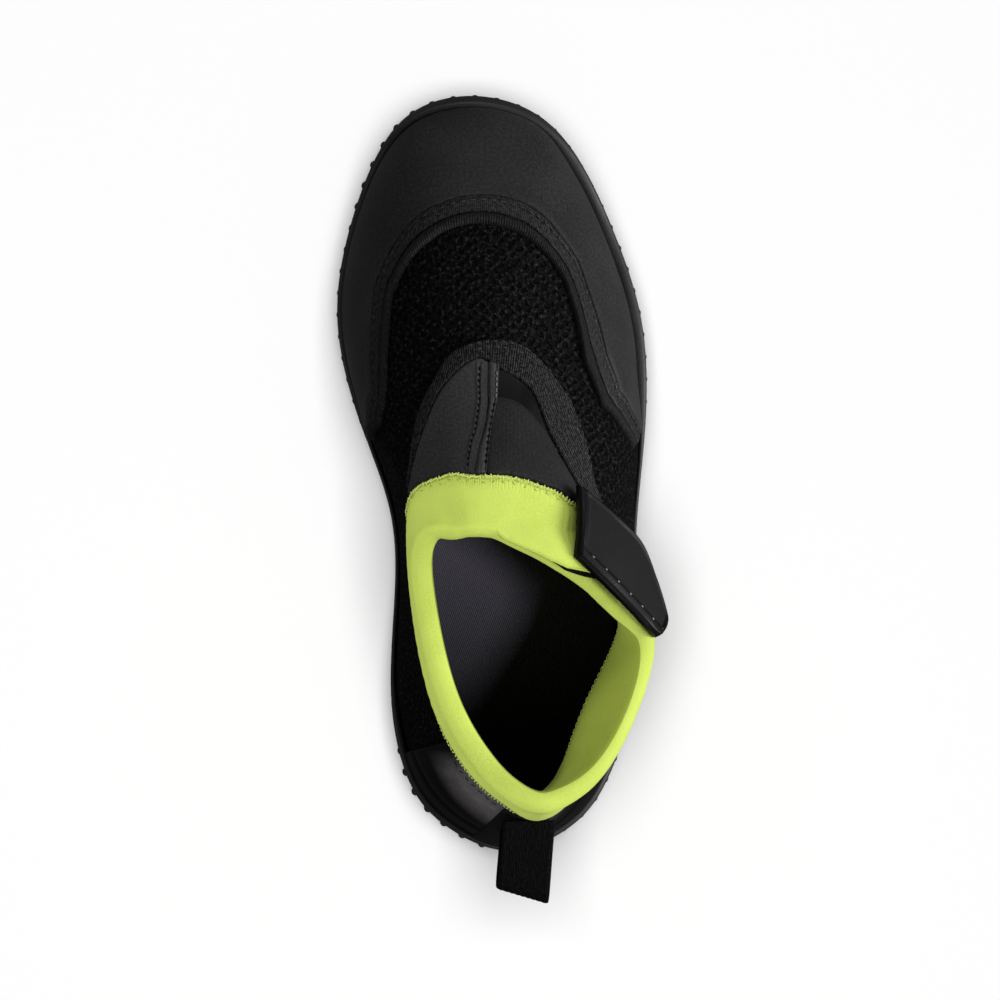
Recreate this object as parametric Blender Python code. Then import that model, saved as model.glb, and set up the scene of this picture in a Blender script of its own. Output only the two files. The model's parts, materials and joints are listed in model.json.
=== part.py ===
"""Water shoe for a right foot: a stretch upper with a rubber sole, a bound collar,
an instep strap with a moulded tab, and a webbing pull loop at the heel.

Metres, +Z up. The toe points to +Y and the outer side of the foot is +X.
The origin is on the ground, under the middle of the heel seat.
"""

from collections import namedtuple

import bmesh
import bpy
import numpy as np

# Driving dimensions of the whole shoe
LENGTH = 0.205
BALL_WIDTH = 0.0857
INSTEP_HEIGHT = 0.068
HEEL_HEIGHT = 0.063
SEAT_FROM_HEEL_END = 0.030

# Sole
SOLE_THICKNESS = 0.0080
TOE_SPRING = 0.0075
HEEL_BEVEL = 0.0020
ARCH_LIFT = 0.0018
LUG_HEIGHT = 0.0016
KNOB_REACH = 0.0011
KNOB_FOOT = 0.0022
KNOB_TOP = 0.0052
KNOB_SHARE = 0.40
KNOBS_PER_SIDE = 40
GROOVE_DEPTH = 0.0007
RIM_WALL = 0.0022
RIM_SIDE = 0.0050
RIM_TOE = 0.0100
RIM_HEEL = 0.0085

# Upper and what is sewn to it
UPPER_WALL = 0.0020
OVERLAY_WALL = 0.0010
BINDING_WALL = 0.0016
STRAP_WALL = 0.0014
TAPE_WALL = 0.0008
HOOK_PAD_WALL = 0.0015
TAB_WALL = 0.0022
LOOP_WIDTH = 0.0147
LOOP_WALL = 0.0015
LOOP_REACH = 0.0185
LOOP_DROP = 0.0095
LOOP_SKEW = 0.30
LOOP_LEAN = 0.08
INSOLE_THICKNESS = 0.0030
GAP = 0.0003

# Mesh density
UPPER_LEVELS = 7
LUG_COLUMNS = 7

# One row for each rib of the upper, from the heel round the inner side to the toe and back
# round the outer side. A rib climbs from the sole's edge to the collar's edge.
#   side_x, side_y   the sole's edge: shares of BALL_WIDTH and LENGTH
#   top_x, top_y     the collar's edge: shares of BALL_WIDTH and LENGTH
#   top_z            the collar's height: a share of HEEL_HEIGHT, or of INSTEP_HEIGHT
#   instep           how far the height follows INSTEP_HEIGHT instead of HEEL_HEIGHT
#   rise, bulge      lower handle: share of the rib's height, share of BALL_WIDTH outwards
#   reach, drop      upper handle: share of the way back to the sole's edge, share of the height
#   cuff             how far the collar's binding comes down outside: a share of BALL_WIDTH
#   tuck             upper handle: share of BALL_WIDTH inwards, where the collar folds out as a lip
Rib = namedtuple(
    "Rib", "side_x side_y top_x top_y top_z instep rise bulge reach drop cuff tuck"
)
RIBS = (
    Rib(0.000, 0.000, 0.062, 0.082, 1.000, 0.0, 0.35, 0.010, 0.10, 0.35, 0.130, 0.00),
    Rib(-0.190, 0.030, -0.029, 0.101, 0.970, 0.0, 0.35, 0.015, 0.12, 0.35, 0.130, 0.00),
    Rib(-0.316, 0.090, -0.111, 0.137, 0.915, 0.0, 0.35, 0.020, 0.15, 0.35, 0.130, 0.00),
    Rib(-0.375, 0.200, -0.216, 0.217, 0.865, 0.0, 0.38, 0.028, 0.18, 0.35, 0.130, 0.00),
    Rib(-0.365, 0.330, -0.282, 0.332, 0.865, 0.2, 0.40, 0.030, 0.25, 0.35, 0.135, 0.00),
    Rib(-0.378, 0.450, -0.294, 0.402, 0.910, 0.8, 0.45, 0.030, 0.35, 0.30, 0.150, 0.00),
    Rib(-0.476, 0.570, -0.257, 0.429, 0.965, 1.0, 0.50, 0.030, 0.40, 0.27, 0.155, 0.00),
    Rib(-0.546, 0.700, -0.204, 0.430, 0.985, 1.0, 0.55, 0.025, 0.42, 0.28, 0.170, 0.00),
    Rib(-0.511, 0.820, -0.169, 0.429, 0.995, 1.0, 0.60, 0.018, 0.42, 0.31, 0.180, 0.00),
    Rib(-0.423, 0.920, -0.146, 0.428, 1.000, 1.0, 0.62, 0.012, 0.42, 0.33, 0.190, 0.00),
    Rib(-0.300, 0.980, -0.128, 0.426, 1.000, 1.0, 0.62, 0.008, 0.42, 0.34, 0.190, 0.00),
    Rib(-0.117, 1.000, -0.111, 0.424, 1.000, 1.0, 0.62, 0.006, 0.42, 0.34, 0.190, 0.00),
    Rib(0.078, 0.980, -0.088, 0.422, 0.998, 1.0, 0.62, 0.008, 0.42, 0.34, 0.195, 0.00),
    Rib(0.226, 0.920, -0.053, 0.418, 0.990, 1.0, 0.62, 0.012, 0.42, 0.33, 0.200, 0.00),
    Rib(0.345, 0.820, 0.000, 0.407, 0.972, 1.0, 0.60, 0.018, 0.42, 0.30, 0.210, 0.00),
    Rib(0.433, 0.700, 0.076, 0.391, 0.940, 1.0, 0.55, 0.025, 0.42, 0.27, 0.210, 0.00),
    Rib(0.443, 0.570, 0.187, 0.363, 0.880, 1.0, 0.50, 0.030, 0.38, 0.25, 0.180, 0.00),
    Rib(0.416, 0.450, 0.303, 0.333, 0.850, 0.6, 0.42, 0.032, 0.30, 0.30, 0.140, 0.02),
    Rib(0.408, 0.330, 0.400, 0.295, 0.830, 0.1, 0.40, 0.030, 0.15, 0.35, 0.130, 0.09),
    Rib(0.400, 0.200, 0.362, 0.210, 0.835, 0.0, 0.38, 0.028, 0.10, 0.35, 0.130, 0.26),
    Rib(0.318, 0.090, 0.257, 0.129, 0.920, 0.0, 0.35, 0.020, 0.10, 0.35, 0.130, 0.20),
    Rib(0.196, 0.030, 0.152, 0.092, 0.975, 0.0, 0.35, 0.015, 0.10, 0.35, 0.130, 0.07),
)
ROWS = len(RIBS)
TOE_ROW = ROWS // 2

# The seams, each row a point on the upper: which rib it lies at (the numbers of the rows above,
# with fractions between them) and how far up that rib.
Seam = namedtuple("Seam", "rib climb")
GUARD_SEAM = (
    Seam(5.90, 0.20),
    Seam(6.20, 0.38),
    Seam(6.88, 0.49),
    Seam(7.22, 0.46),
    Seam(8.04, 0.38),
    Seam(9.22, 0.40),
    Seam(10.18, 0.41),
    Seam(11.52, 0.40),
    Seam(12.88, 0.39),
    Seam(13.50, 0.38),
    Seam(14.22, 0.42),
    Seam(14.58, 0.45),
    Seam(15.12, 0.44),
    Seam(15.60, 0.34),
    Seam(16.05, 0.20),
)
TOE_TAPE = (
    Seam(5.98, 0.36),
    Seam(6.46, 0.51),
    Seam(6.90, 0.55),
    Seam(7.34, 0.55),
    Seam(7.92, 0.50),
    Seam(8.34, 0.46),
    Seam(9.78, 0.47),
    Seam(11.00, 0.46),
    Seam(12.82, 0.46),
    Seam(13.26, 0.46),
    Seam(13.74, 0.49),
    Seam(14.20, 0.54),
    Seam(14.88, 0.55),
    Seam(15.48, 0.47),
    Seam(15.96, 0.36),
)
PANEL_SEAM = (
    Seam(6.00, 0.770),
    Seam(6.50, 0.775),
    Seam(7.32, 0.760),
    Seam(8.36, 0.750),
    Seam(9.90, 0.730),
    Seam(11.25, 0.705),
)
ARCH_TAPE = (
    Seam(6.00, 0.745),
    Seam(6.82, 0.745),
    Seam(7.86, 0.712),
    Seam(9.14, 0.705),
    Seam(9.86, 0.690),
    Seam(10.74, 0.680),
    Seam(12.60, 0.655),
    Seam(14.18, 0.640),
    Seam(14.78, 0.660),
    Seam(15.40, 0.695),
)
STRAP_SEAM = (
    Seam(11.35, 0.765),
    Seam(11.80, 0.764),
    Seam(12.86, 0.753),
    Seam(13.54, 0.750),
    Seam(14.20, 0.757),
    Seam(15.40, 0.770),
)
HOOK_PAD_SEAM = (Seam(16.10, 0.62), Seam(17.10, 0.66))
COUNTER_RIBS = (-2.45, 2.45)

# The moulded tab on the strap's free end, one row for each station along it, outwards.
#   rib              where round the collar the row lies
#   x, y             shares of BALL_WIDTH and LENGTH
#   lift             above the collar's edge at that rib: a share of BALL_WIDTH
Tab = namedtuple("Tab", "rib front_x front_y front_lift rear_x rear_y rear_lift")
TAB = (
    Tab(15.3, 0.194, 0.486, -0.046, 0.182, 0.398, 0.042),
    Tab(16.0, 0.303, 0.448, -0.055, 0.264, 0.365, 0.053),
    Tab(16.6, 0.384, 0.414, -0.073, 0.344, 0.332, 0.044),
    Tab(17.2, 0.431, 0.368, -0.065, 0.401, 0.307, 0.042),
    Tab(17.7, 0.464, 0.323, -0.053, 0.432, 0.295, 0.030),
    Tab(18.0, 0.464, 0.307, -0.032, 0.446, 0.296, 0.014),
)


def closed_spline(points):
    """The smooth closed curve through the rows of points, as a function of the row number."""
    points = np.asarray(points, float)
    count = len(points)
    step = np.eye(count)
    following, leading = np.roll(points, -1, axis=0), np.roll(points, 1, axis=0)
    matrix = 4 * step + np.roll(step, 1, axis=0) + np.roll(step, -1, axis=0)
    slopes = np.linalg.solve(matrix, 3 * (following - leading))

    def curve(q):
        q = np.asarray(q, float) % count
        i = np.floor(q).astype(int) % count
        j = (i + 1) % count
        f = (q - np.floor(q))[..., None]
        start = (2 * f**3 - 3 * f**2 + 1) * points[i] + (f**3 - 2 * f**2 + f) * slopes[i]
        end = (3 * f**2 - 2 * f**3) * points[j] + (f**3 - f**2) * slopes[j]
        return start + end

    return curve


def rib_lengths():
    """The table's rows in metres: side x, y, top x, y, z, the handles, the cuff and the tuck."""
    rows = []
    for rib in RIBS:
        height = HEEL_HEIGHT + rib.instep * (INSTEP_HEIGHT - HEEL_HEIGHT)
        rows.append((
            rib.side_x * BALL_WIDTH,
            rib.side_y * LENGTH - SEAT_FROM_HEEL_END,
            rib.top_x * BALL_WIDTH,
            rib.top_y * LENGTH - SEAT_FROM_HEEL_END,
            rib.top_z * height,
            rib.rise,
            rib.bulge * BALL_WIDTH,
            rib.reach,
            rib.drop,
            rib.cuff * BALL_WIDTH,
            rib.tuck * BALL_WIDTH,
        ))
    return rows


RING = closed_spline(rib_lengths())


def smooth_step(x):
    x = np.clip(x, 0.0, 1.0)
    return x * x * (3 - 2 * x)


def share_of_length(y):
    return (np.asarray(y) + SEAT_FROM_HEEL_END) / LENGTH


def ground(y):
    """Height of the lugs' faces: flat at heel and ball, lifted at the toe and the very back."""
    share = share_of_length(y)
    toe = TOE_SPRING * np.clip((share - 0.74) / 0.26, 0, None) ** 2
    heel = HEEL_BEVEL * np.clip((0.06 - share) / 0.06, 0, None) ** 2
    return toe + heel


def floor(y):
    """Height of the cup's floor, which the insole lies on."""
    share = share_of_length(y)
    return ground(y) * (share > 0.5) + SOLE_THICKNESS


def web(y):
    """Height of the sole's underside between the lugs, hollowed a little under the arch."""
    share = share_of_length(y)
    arch = smooth_step((share - 0.30) / 0.08) * smooth_step((0.56 - share) / 0.08)
    return ground(y) + LUG_HEIGHT + ARCH_LIFT * arch


def outward(q):
    """Unit vector in plan that points out of the sole's edge."""
    step = 1e-3
    along = RING(np.asarray(q) + step)[..., :2] - RING(np.asarray(q) - step)[..., :2]
    along /= np.linalg.norm(along, axis=-1, keepdims=True)
    return np.stack([-along[..., 1], along[..., 0]], axis=-1)


def edge(q, inset, height):
    """The sole's edge, moved inwards by inset, at height above the ground curve."""
    xy = RING(q)[..., :2] - outward(q) * inset
    return np.concatenate([xy, (ground(xy[..., 1]) + height)[..., None]], axis=-1)


def surface(q, t):
    """A point of the upper's outer face: rib q, from t = 0 at the sole to t = 1 at the collar."""
    q, t = np.broadcast_arrays(np.asarray(q, float), np.asarray(t, float))
    ring, out = RING(q), outward(q)
    foot = ring[..., :2] - out * (KNOB_REACH + RIM_WALL + GAP)
    foot_z = floor(foot[..., 1]) + GAP
    top, top_z = ring[..., 2:4], ring[..., 4]
    rise, bulge, reach, drop = (ring[..., i] for i in range(5, 9))
    tuck = ring[..., 10]
    height = top_z - foot_z
    low = foot + out * bulge[..., None]
    high = top + (foot - top) * reach[..., None] - out * tuck[..., None]
    controls = (
        np.concatenate([foot, foot_z[..., None]], axis=-1),
        np.concatenate([low, (foot_z + rise * height)[..., None]], axis=-1),
        np.concatenate([high, (top_z - drop * height)[..., None]], axis=-1),
        np.concatenate([top, top_z[..., None]], axis=-1),
    )
    t = t[..., None]
    weights = ((1 - t) ** 3, 3 * t * (1 - t) ** 2, 3 * t**2 * (1 - t), t**3)
    return sum(w * p for w, p in zip(weights, controls))


def skin(q, t, offset):
    """A point at offset outside the upper's outer face."""
    step = 1e-3
    q, t = np.broadcast_arrays(np.asarray(q, float), np.asarray(t, float))
    along = surface(q + step, t) - surface(q - step, t)
    up = surface(q, t + step) - surface(q, t - step)
    normal = np.cross(up, along)
    normal /= np.linalg.norm(normal, axis=-1, keepdims=True)
    return surface(q, t) + normal * np.asarray(offset)[..., None]


def t_at(q, distance, from_top=False):
    """Where each rib has run the given distance, from the sole or from the collar."""
    samples = np.linspace(0, 1, 61)
    q = np.asarray(q, float)
    distance = np.broadcast_to(distance, q.shape)
    points = surface(q[:, None], samples[None, :])
    runs = np.linalg.norm(np.diff(points, axis=1), axis=-1)
    lengths = np.concatenate([np.zeros((len(q), 1)), np.cumsum(runs, axis=1)], axis=1)
    found = [
        np.interp(length[-1] - d if from_top else d, length, samples)
        for length, d in zip(lengths, distance)
    ]
    return np.array(found)


def even_rows(per_side):
    """Row numbers that divide each side of the sole's edge into stretches of equal length."""
    found = []
    for first, last in ((0, TOE_ROW), (TOE_ROW, ROWS)):
        fine = np.linspace(first, last, 40 * (last - first) + 1)
        steps = np.linalg.norm(np.diff(RING(fine)[:, :2], axis=0), axis=1)
        lengths = np.concatenate([[0], np.cumsum(steps)])
        found.append(np.interp(np.linspace(0, lengths[-1], per_side + 1)[:-1], lengths, fine))
    return np.concatenate(found)


class Solid:
    """Collects points and faces, then makes one closed object of them."""

    def __init__(self):
        self.points = []
        self.faces = []

    def row(self, points):
        first = len(self.points)
        self.points.extend(tuple(float(x) for x in p) for p in points)
        return list(range(first, len(self.points)))

    def face(self, *corners):
        corners = [c for i, c in enumerate(corners) if c != corners[i - 1]]
        if len(corners) > 2:
            self.faces.append(corners)

    def band(self, lower, upper, closed=True):
        for i in range(len(lower) if closed else len(lower) - 1):
            j = (i + 1) % len(lower)
            self.face(lower[i], lower[j], upper[j])
            self.face(lower[i], upper[j], upper[i])

    def make(self, name, material):
        mesh = bpy.data.meshes.new(name)
        mesh.from_pydata(self.points, [], self.faces)
        work = bmesh.new()
        work.from_mesh(mesh)
        bmesh.ops.remove_doubles(work, verts=work.verts, dist=1e-6)
        bmesh.ops.recalc_face_normals(work, faces=work.faces)
        work.to_mesh(mesh)
        work.free()
        mesh.shade_smooth()
        mesh.set_sharp_from_angle(angle=0.6)
        mesh.materials.append(material)
        thing = bpy.data.objects.new(name, mesh)
        bpy.context.scene.collection.objects.link(thing)
        return thing


def material(name, colour, roughness):
    made = bpy.data.materials.new(name)
    made.use_nodes = True
    shader = made.node_tree.nodes["Principled BSDF"]
    shader.inputs["Base Color"].default_value = (*colour, 1)
    shader.inputs["Roughness"].default_value = roughness
    shader.inputs["Metallic"].default_value = 0
    return made


def rim_height(q):
    """How far the sole's rim climbs the upper: highest at the toe, then the heel."""
    share = share_of_length(RING(q)[..., 1])
    toe = (RIM_TOE - RIM_SIDE) * smooth_step((share - 0.80) / 0.20)
    heel = (RIM_HEEL - RIM_SIDE) * smooth_step((0.16 - share) / 0.16)
    return RIM_SIDE + toe + heel


COLUMNS = even_rows(KNOBS_PER_SIDE)


def knob_columns():
    """Two row numbers for each knob: where it starts, and where it ends."""
    following = np.append(COLUMNS[1:], ROWS)
    ends = COLUMNS + (following - COLUMNS) * KNOB_SHARE
    return np.stack([COLUMNS, ends], axis=1).ravel()


def lug_cell(row, column, rows):
    """Whether a cell of the underside stands down as a lug."""
    share = row / rows
    middle = 2 <= column <= 4
    if 0.09 < share < 0.21 or 0.62 < share < 0.72:
        return middle
    if 0.07 < share < 0.23 or 0.60 < share < 0.74:
        return False
    if row % 4 == 1:
        return column in (1, 3, 5)
    return row % 4 == 3 and column in (2, 4)


def add_underside(sole, rim):
    """Fills the underside inside the ring of points rim, two for each knob, with its lugs."""
    count = len(rim)
    rows = KNOBS_PER_SIDE
    grid, low = [], {}
    for r in range(rows + 1):
        inner, outer = rim[2 * r], rim[(count - 2 * r) % count]
        if inner == outer:
            grid.append([inner] * (LUG_COLUMNS + 1))
            continue
        a, b = np.array(sole.points[inner]), np.array(sole.points[outer])
        between = [a + (b - a) * c / LUG_COLUMNS for c in range(1, LUG_COLUMNS)]
        between = [(p[0], p[1], web(p[1])) for p in between]
        grid.append([inner, *sole.row(between), outer])

    def lowered(r, c):
        if (r, c) not in low:
            x, y, _ = sole.points[grid[r][c]]
            low[r, c] = sole.row([(x, y, ground(y))])[0]
        return low[r, c]

    def is_lug(r, c):
        inside = 1 <= r < rows - 1 and 0 < c < LUG_COLUMNS - 1
        return inside and lug_cell(r, c, rows)

    for r in range(rows):
        for c in range(LUG_COLUMNS):
            corners = ((r, c), (r, c + 1), (r + 1, c + 1), (r + 1, c))
            if not is_lug(r, c):
                ids = [grid[i][j] for i, j in corners]
                if c == LUG_COLUMNS - 1:
                    ids.insert(2, rim[count - 2 * r - 1])
                if c == 0:
                    ids.append(rim[2 * r + 1])
                sole.face(*ids)
                continue
            sole.face(*(lowered(i, j) for i, j in corners))
            beside = ((r - 1, c), (r, c + 1), (r + 1, c), (r, c - 1))
            for k, cell in enumerate(beside):
                if not is_lug(*cell):
                    p, n = corners[k], corners[(k + 1) % 4]
                    sole.face(grid[p[0]][p[1]], grid[n[0]][n[1]], lowered(*n), lowered(*p))


def make_sole(rubber):
    """The moulded sole: lugs and a row of knobs below, and a rim that cups the upper."""
    sole = Solid()
    q = knob_columns()
    wall = KNOB_REACH
    web_edge = sole.row(
        (x, y, web(y)) for x, y, _ in edge(q, wall + GROOVE_DEPTH, 0)
    )
    knob_foot = sole.row(edge(q, wall, KNOB_FOOT))
    knob_top = sole.row(edge(q, wall, KNOB_TOP))
    groove = sole.row(edge(q, wall + GROOVE_DEPTH, KNOB_TOP + GROOVE_DEPTH))
    add_underside(sole, web_edge)
    sole.band(web_edge, knob_foot)
    sole.band(knob_top, groove)
    face_foot = sole.row(edge(q, 0, KNOB_FOOT + GROOVE_DEPTH / 2))
    face_top = sole.row(edge(q, 0, KNOB_TOP - GROOVE_DEPTH / 2))
    for i in range(len(q)):
        j = (i + 1) % len(q)
        corners = (knob_foot[i], knob_foot[j], knob_top[j], knob_top[i])
        if i % 2:
            sole.face(*corners)
            continue
        faces = (face_foot[i], face_foot[j], face_top[j], face_top[i])
        sole.face(*faces)
        for k in range(4):
            m = (k + 1) % 4
            sole.face(corners[k], corners[m], faces[m], faces[k])
    p = COLUMNS
    rim = rim_height(p)
    ends, half, zero = t_at(p, rim), t_at(p, rim / 2), np.zeros(len(p))
    outside = GAP + RIM_WALL
    foot = sole.row(edge(p, wall, SOLE_THICKNESS - GROOVE_DEPTH / 2))
    rings = [
        foot,
        sole.row(skin(p, half, outside)),
        sole.row(skin(p, ends, outside - GROOVE_DEPTH / 2)),
        sole.row(skin(p, t_at(p, rim + GROOVE_DEPTH), outside - RIM_WALL / 2)),
        sole.row(skin(p, ends, GAP)),
        sole.row(skin(p, half, GAP)),
    ]
    inner = skin(p, zero, GAP)
    inner[:, 2] = floor(inner[:, 1])
    rings.append(sole.row(inner))
    for i in range(len(p)):
        j = (i + 1) % len(p)
        k = (2 * i + 2) % len(q)
        sole.face(groove[2 * i], groove[2 * i + 1], groove[k], foot[j], foot[i])
    for lower, upper in zip(rings, rings[1:]):
        sole.band(lower, upper)
    fill_across(sole, rings[-1])
    return sole.make("outsole", rubber)


def fill_across(solid, ring):
    """Closes a ring of points with strips from its inner side to its outer side."""
    count = len(ring)
    for i in range(count // 2):
        solid.face(ring[i], ring[i + 1], ring[(count - i - 1) % count], ring[(count - i) % count])


def make_insole(cloth):
    """The footbed, cut to the inside of the upper."""
    insole = Solid()
    p = COLUMNS
    inset = -(UPPER_WALL + GAP)
    zero, lip = np.zeros(len(p)), t_at(p, INSOLE_THICKNESS)
    under = skin(p, zero, inset)
    under[:, 2] = floor(under[:, 1]) + GAP
    side, top = under.copy(), skin(p, lip, inset - 2 * GAP)
    side[:, 2] += INSOLE_THICKNESS * 0.6
    top[:, 2] = floor(top[:, 1]) + GAP + INSOLE_THICKNESS
    rings = [insole.row(under), insole.row(side), insole.row(top)]
    insole.band(rings[0], rings[1])
    insole.band(rings[1], rings[2])
    fill_across(insole, rings[0])
    fill_across(insole, rings[2])
    return insole.make("insole", cloth)


def cuff_levels(q):
    """Where the binding's lower edge and its middle lie on each rib."""
    cuff = RING(q)[..., 9]
    return t_at(q, cuff, from_top=True), t_at(q, cuff / 2, from_top=True)


def make_upper(cloth):
    """One hollow wall from the sole's cup to the collar's edge."""
    upper = Solid()
    p = COLUMNS
    hem, middle = cuff_levels(p)
    foot = t_at(p, INSOLE_THICKNESS + 2 * GAP)
    levels = [np.zeros(len(p))]
    levels += [foot + (hem - foot) * share for share in np.linspace(0, 1, UPPER_LEVELS + 1)]
    levels += [middle, np.ones(len(p))]
    outside = [upper.row(skin(p, t, 0)) for t in levels]
    inside = [upper.row(skin(p, t, -UPPER_WALL)) for t in levels]
    for rows in (outside, inside):
        for lower, higher in zip(rows, rows[1:]):
            upper.band(lower, higher)
    upper.band(outside[0], inside[0])
    upper.band(outside[-1], inside[-1])
    return upper.make("upper", cloth)


def make_binding(cloth):
    """The soft band folded over the collar's edge, all the way round."""
    binding = Solid()
    p = COLUMNS
    hem, middle = cuff_levels(p)
    top = np.ones(len(p))
    near, far = GAP, GAP + BINDING_WALL
    up = surface(p, top) - surface(p, top - 1e-3)
    up /= np.linalg.norm(up, axis=-1, keepdims=True)
    crown = skin(p, top, -UPPER_WALL / 2) + up * far
    corners = [skin(p, top, near) + up * near, skin(p, top, -UPPER_WALL - near) + up * near]
    rings = [
        skin(p, hem, near),
        skin(p, hem, far),
        skin(p, middle, far),
        skin(p, top, far),
        crown,
        skin(p, top, -UPPER_WALL - far),
        skin(p, middle, -UPPER_WALL - far),
        skin(p, middle, -UPPER_WALL - near),
        corners[1],
        corners[0],
        skin(p, middle, near),
    ]
    rows = [binding.row(ring) for ring in rings]
    for lower, upper in zip(rows[:9], rows[1:10]):
        binding.band(lower, upper)
    binding.band(rows[10], rows[9])
    binding.band(rows[0], rows[10])
    return binding.make("collar_binding", cloth)


def columns_between(first, last):
    """The upper's own columns that lie between two ribs."""
    every = np.concatenate([COLUMNS - ROWS, COLUMNS])
    return every[(every >= first) & (every <= last)]


def make_overlay(name, cloth, q, low, high, wall, rows):
    """A panel laid on the upper: ribs q, from the shares low up to the shares high."""
    panel = Solid()
    shares = [low + (high - low) * i / rows for i in range(rows + 1)]
    under = [panel.row(skin(q, t, GAP)) for t in shares]
    over = [panel.row(skin(q, t, GAP + wall)) for t in shares]
    for grid in (under, over):
        for lower, upper in zip(grid, grid[1:]):
            panel.band(lower, upper, closed=False)
    panel.band(under[0], over[0], closed=False)
    panel.band(under[-1], over[-1], closed=False)
    for end in (0, -1):
        for i in range(rows):
            panel.face(under[i][end], under[i + 1][end], over[i + 1][end], over[i][end])
    return panel.make(name, cloth)


def along_seam(seam, q):
    return np.interp(q, [point.rib for point in seam], [point.climb for point in seam])


def rib_length(q):
    points = surface(q[:, None], np.linspace(0, 1, 61)[None, :])
    return np.linalg.norm(np.diff(points, axis=1), axis=-1).sum(axis=1)


def under_cuff(q):
    """Just below the binding's lower edge."""
    return t_at(q, RING(q)[..., 9] + 2 * GAP, from_top=True)


def over_rim(q):
    """Just above the sole's rim."""
    return t_at(q, rim_height(q) + GROOVE_DEPTH + GAP)


def make_tab(rubber):
    """The moulded tab: a thin curved plate that stands off the upper."""
    rows = np.array(TAB)
    scale = np.array([BALL_WIDTH, LENGTH, BALL_WIDTH])
    collar = RING(rows[:, 0])[:, 4]
    origin = np.array([0, SEAT_FROM_HEEL_END, 0])
    front, rear = rows[:, 1:4] * scale - origin, rows[:, 4:7] * scale - origin
    front[:, 2] += collar
    rear[:, 2] += collar
    up = np.cross(front[2] - rear[2], rear[0] - rear[3])
    up /= np.linalg.norm(up)
    up *= np.sign(up[2])
    middle = (front + rear) / 2 + up * TAB_WALL * 0.3
    tab = Solid()
    grids = []
    for drop in (0, TAB_WALL):
        grids.append([tab.row(np.array(points) - up * drop) for points in zip(front, middle, rear)])
    for grid in grids:
        for one, other in zip(grid, grid[1:]):
            tab.band(one, other, closed=False)
    top, under = grids
    loop = [row[0] for row in top] + top[-1][1:] + [row[2] for row in reversed(top[:-1])]
    loop += [top[0][1]]
    below = [row[0] for row in under] + under[-1][1:] + [row[2] for row in reversed(under[:-1])]
    below += [under[0][1]]
    tab.band(loop, below)
    return tab.make("strap_tab", rubber)


def make_pull_loop(webbing):
    """A ribbon sewn to the heel at both ends, standing out backwards."""
    root = GAP + OVERLAY_WALL + 3 * GAP
    seam = t_at(np.zeros(1), RING(0.0)[9] + 4 * GAP, from_top=True)
    start = skin(np.zeros(1), seam, root)[0]
    foot = t_at(np.zeros(1), RING(0.0)[9] + 4 * GAP + LOOP_DROP, from_top=True)
    end = skin(np.zeros(1), foot, root)[0]
    far, bend = start[1] - LOOP_REACH, LOOP_DROP * 0.36
    middle = (start[2] + end[2]) / 2
    path = [start[1:], (start[1] - 0.3 * LOOP_REACH, start[2] - 0.05 * LOOP_DROP)]
    for angle in np.radians(np.linspace(90, 270, 7)):
        path.append((far + bend + bend * np.cos(angle), middle + bend * np.sin(angle)))
    path += [(end[1] - 0.2 * LOOP_REACH, end[2] + 0.05 * LOOP_DROP), end[1:]]
    path = np.array(path)
    along = np.gradient(path, axis=0)
    along /= np.linalg.norm(along, axis=1, keepdims=True)
    side = np.stack([-along[:, 1], along[:, 0]], axis=1) * LOOP_WALL / 2
    loop = Solid()
    grids = []
    outline = np.concatenate([path + side, (path - side)[::-1]])
    reached = np.clip((start[1] - outline[:, 0]) / LOOP_REACH, 0, 1)
    for half in (-LOOP_WIDTH / 2, LOOP_WIDTH / 2):
        x = start[0] + half - LOOP_LEAN * LOOP_REACH * reached
        y = outline[:, 0] - LOOP_SKEW * half * reached
        grids.append(loop.row(np.stack([x, y, outline[:, 1]], axis=1)))
    loop.band(*grids)
    for grid in grids:
        for i in range(len(path) - 1):
            loop.face(grid[i], grid[i + 1], grid[-i - 2], grid[-i - 1])
    return loop.make("pull_loop", webbing)


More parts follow.
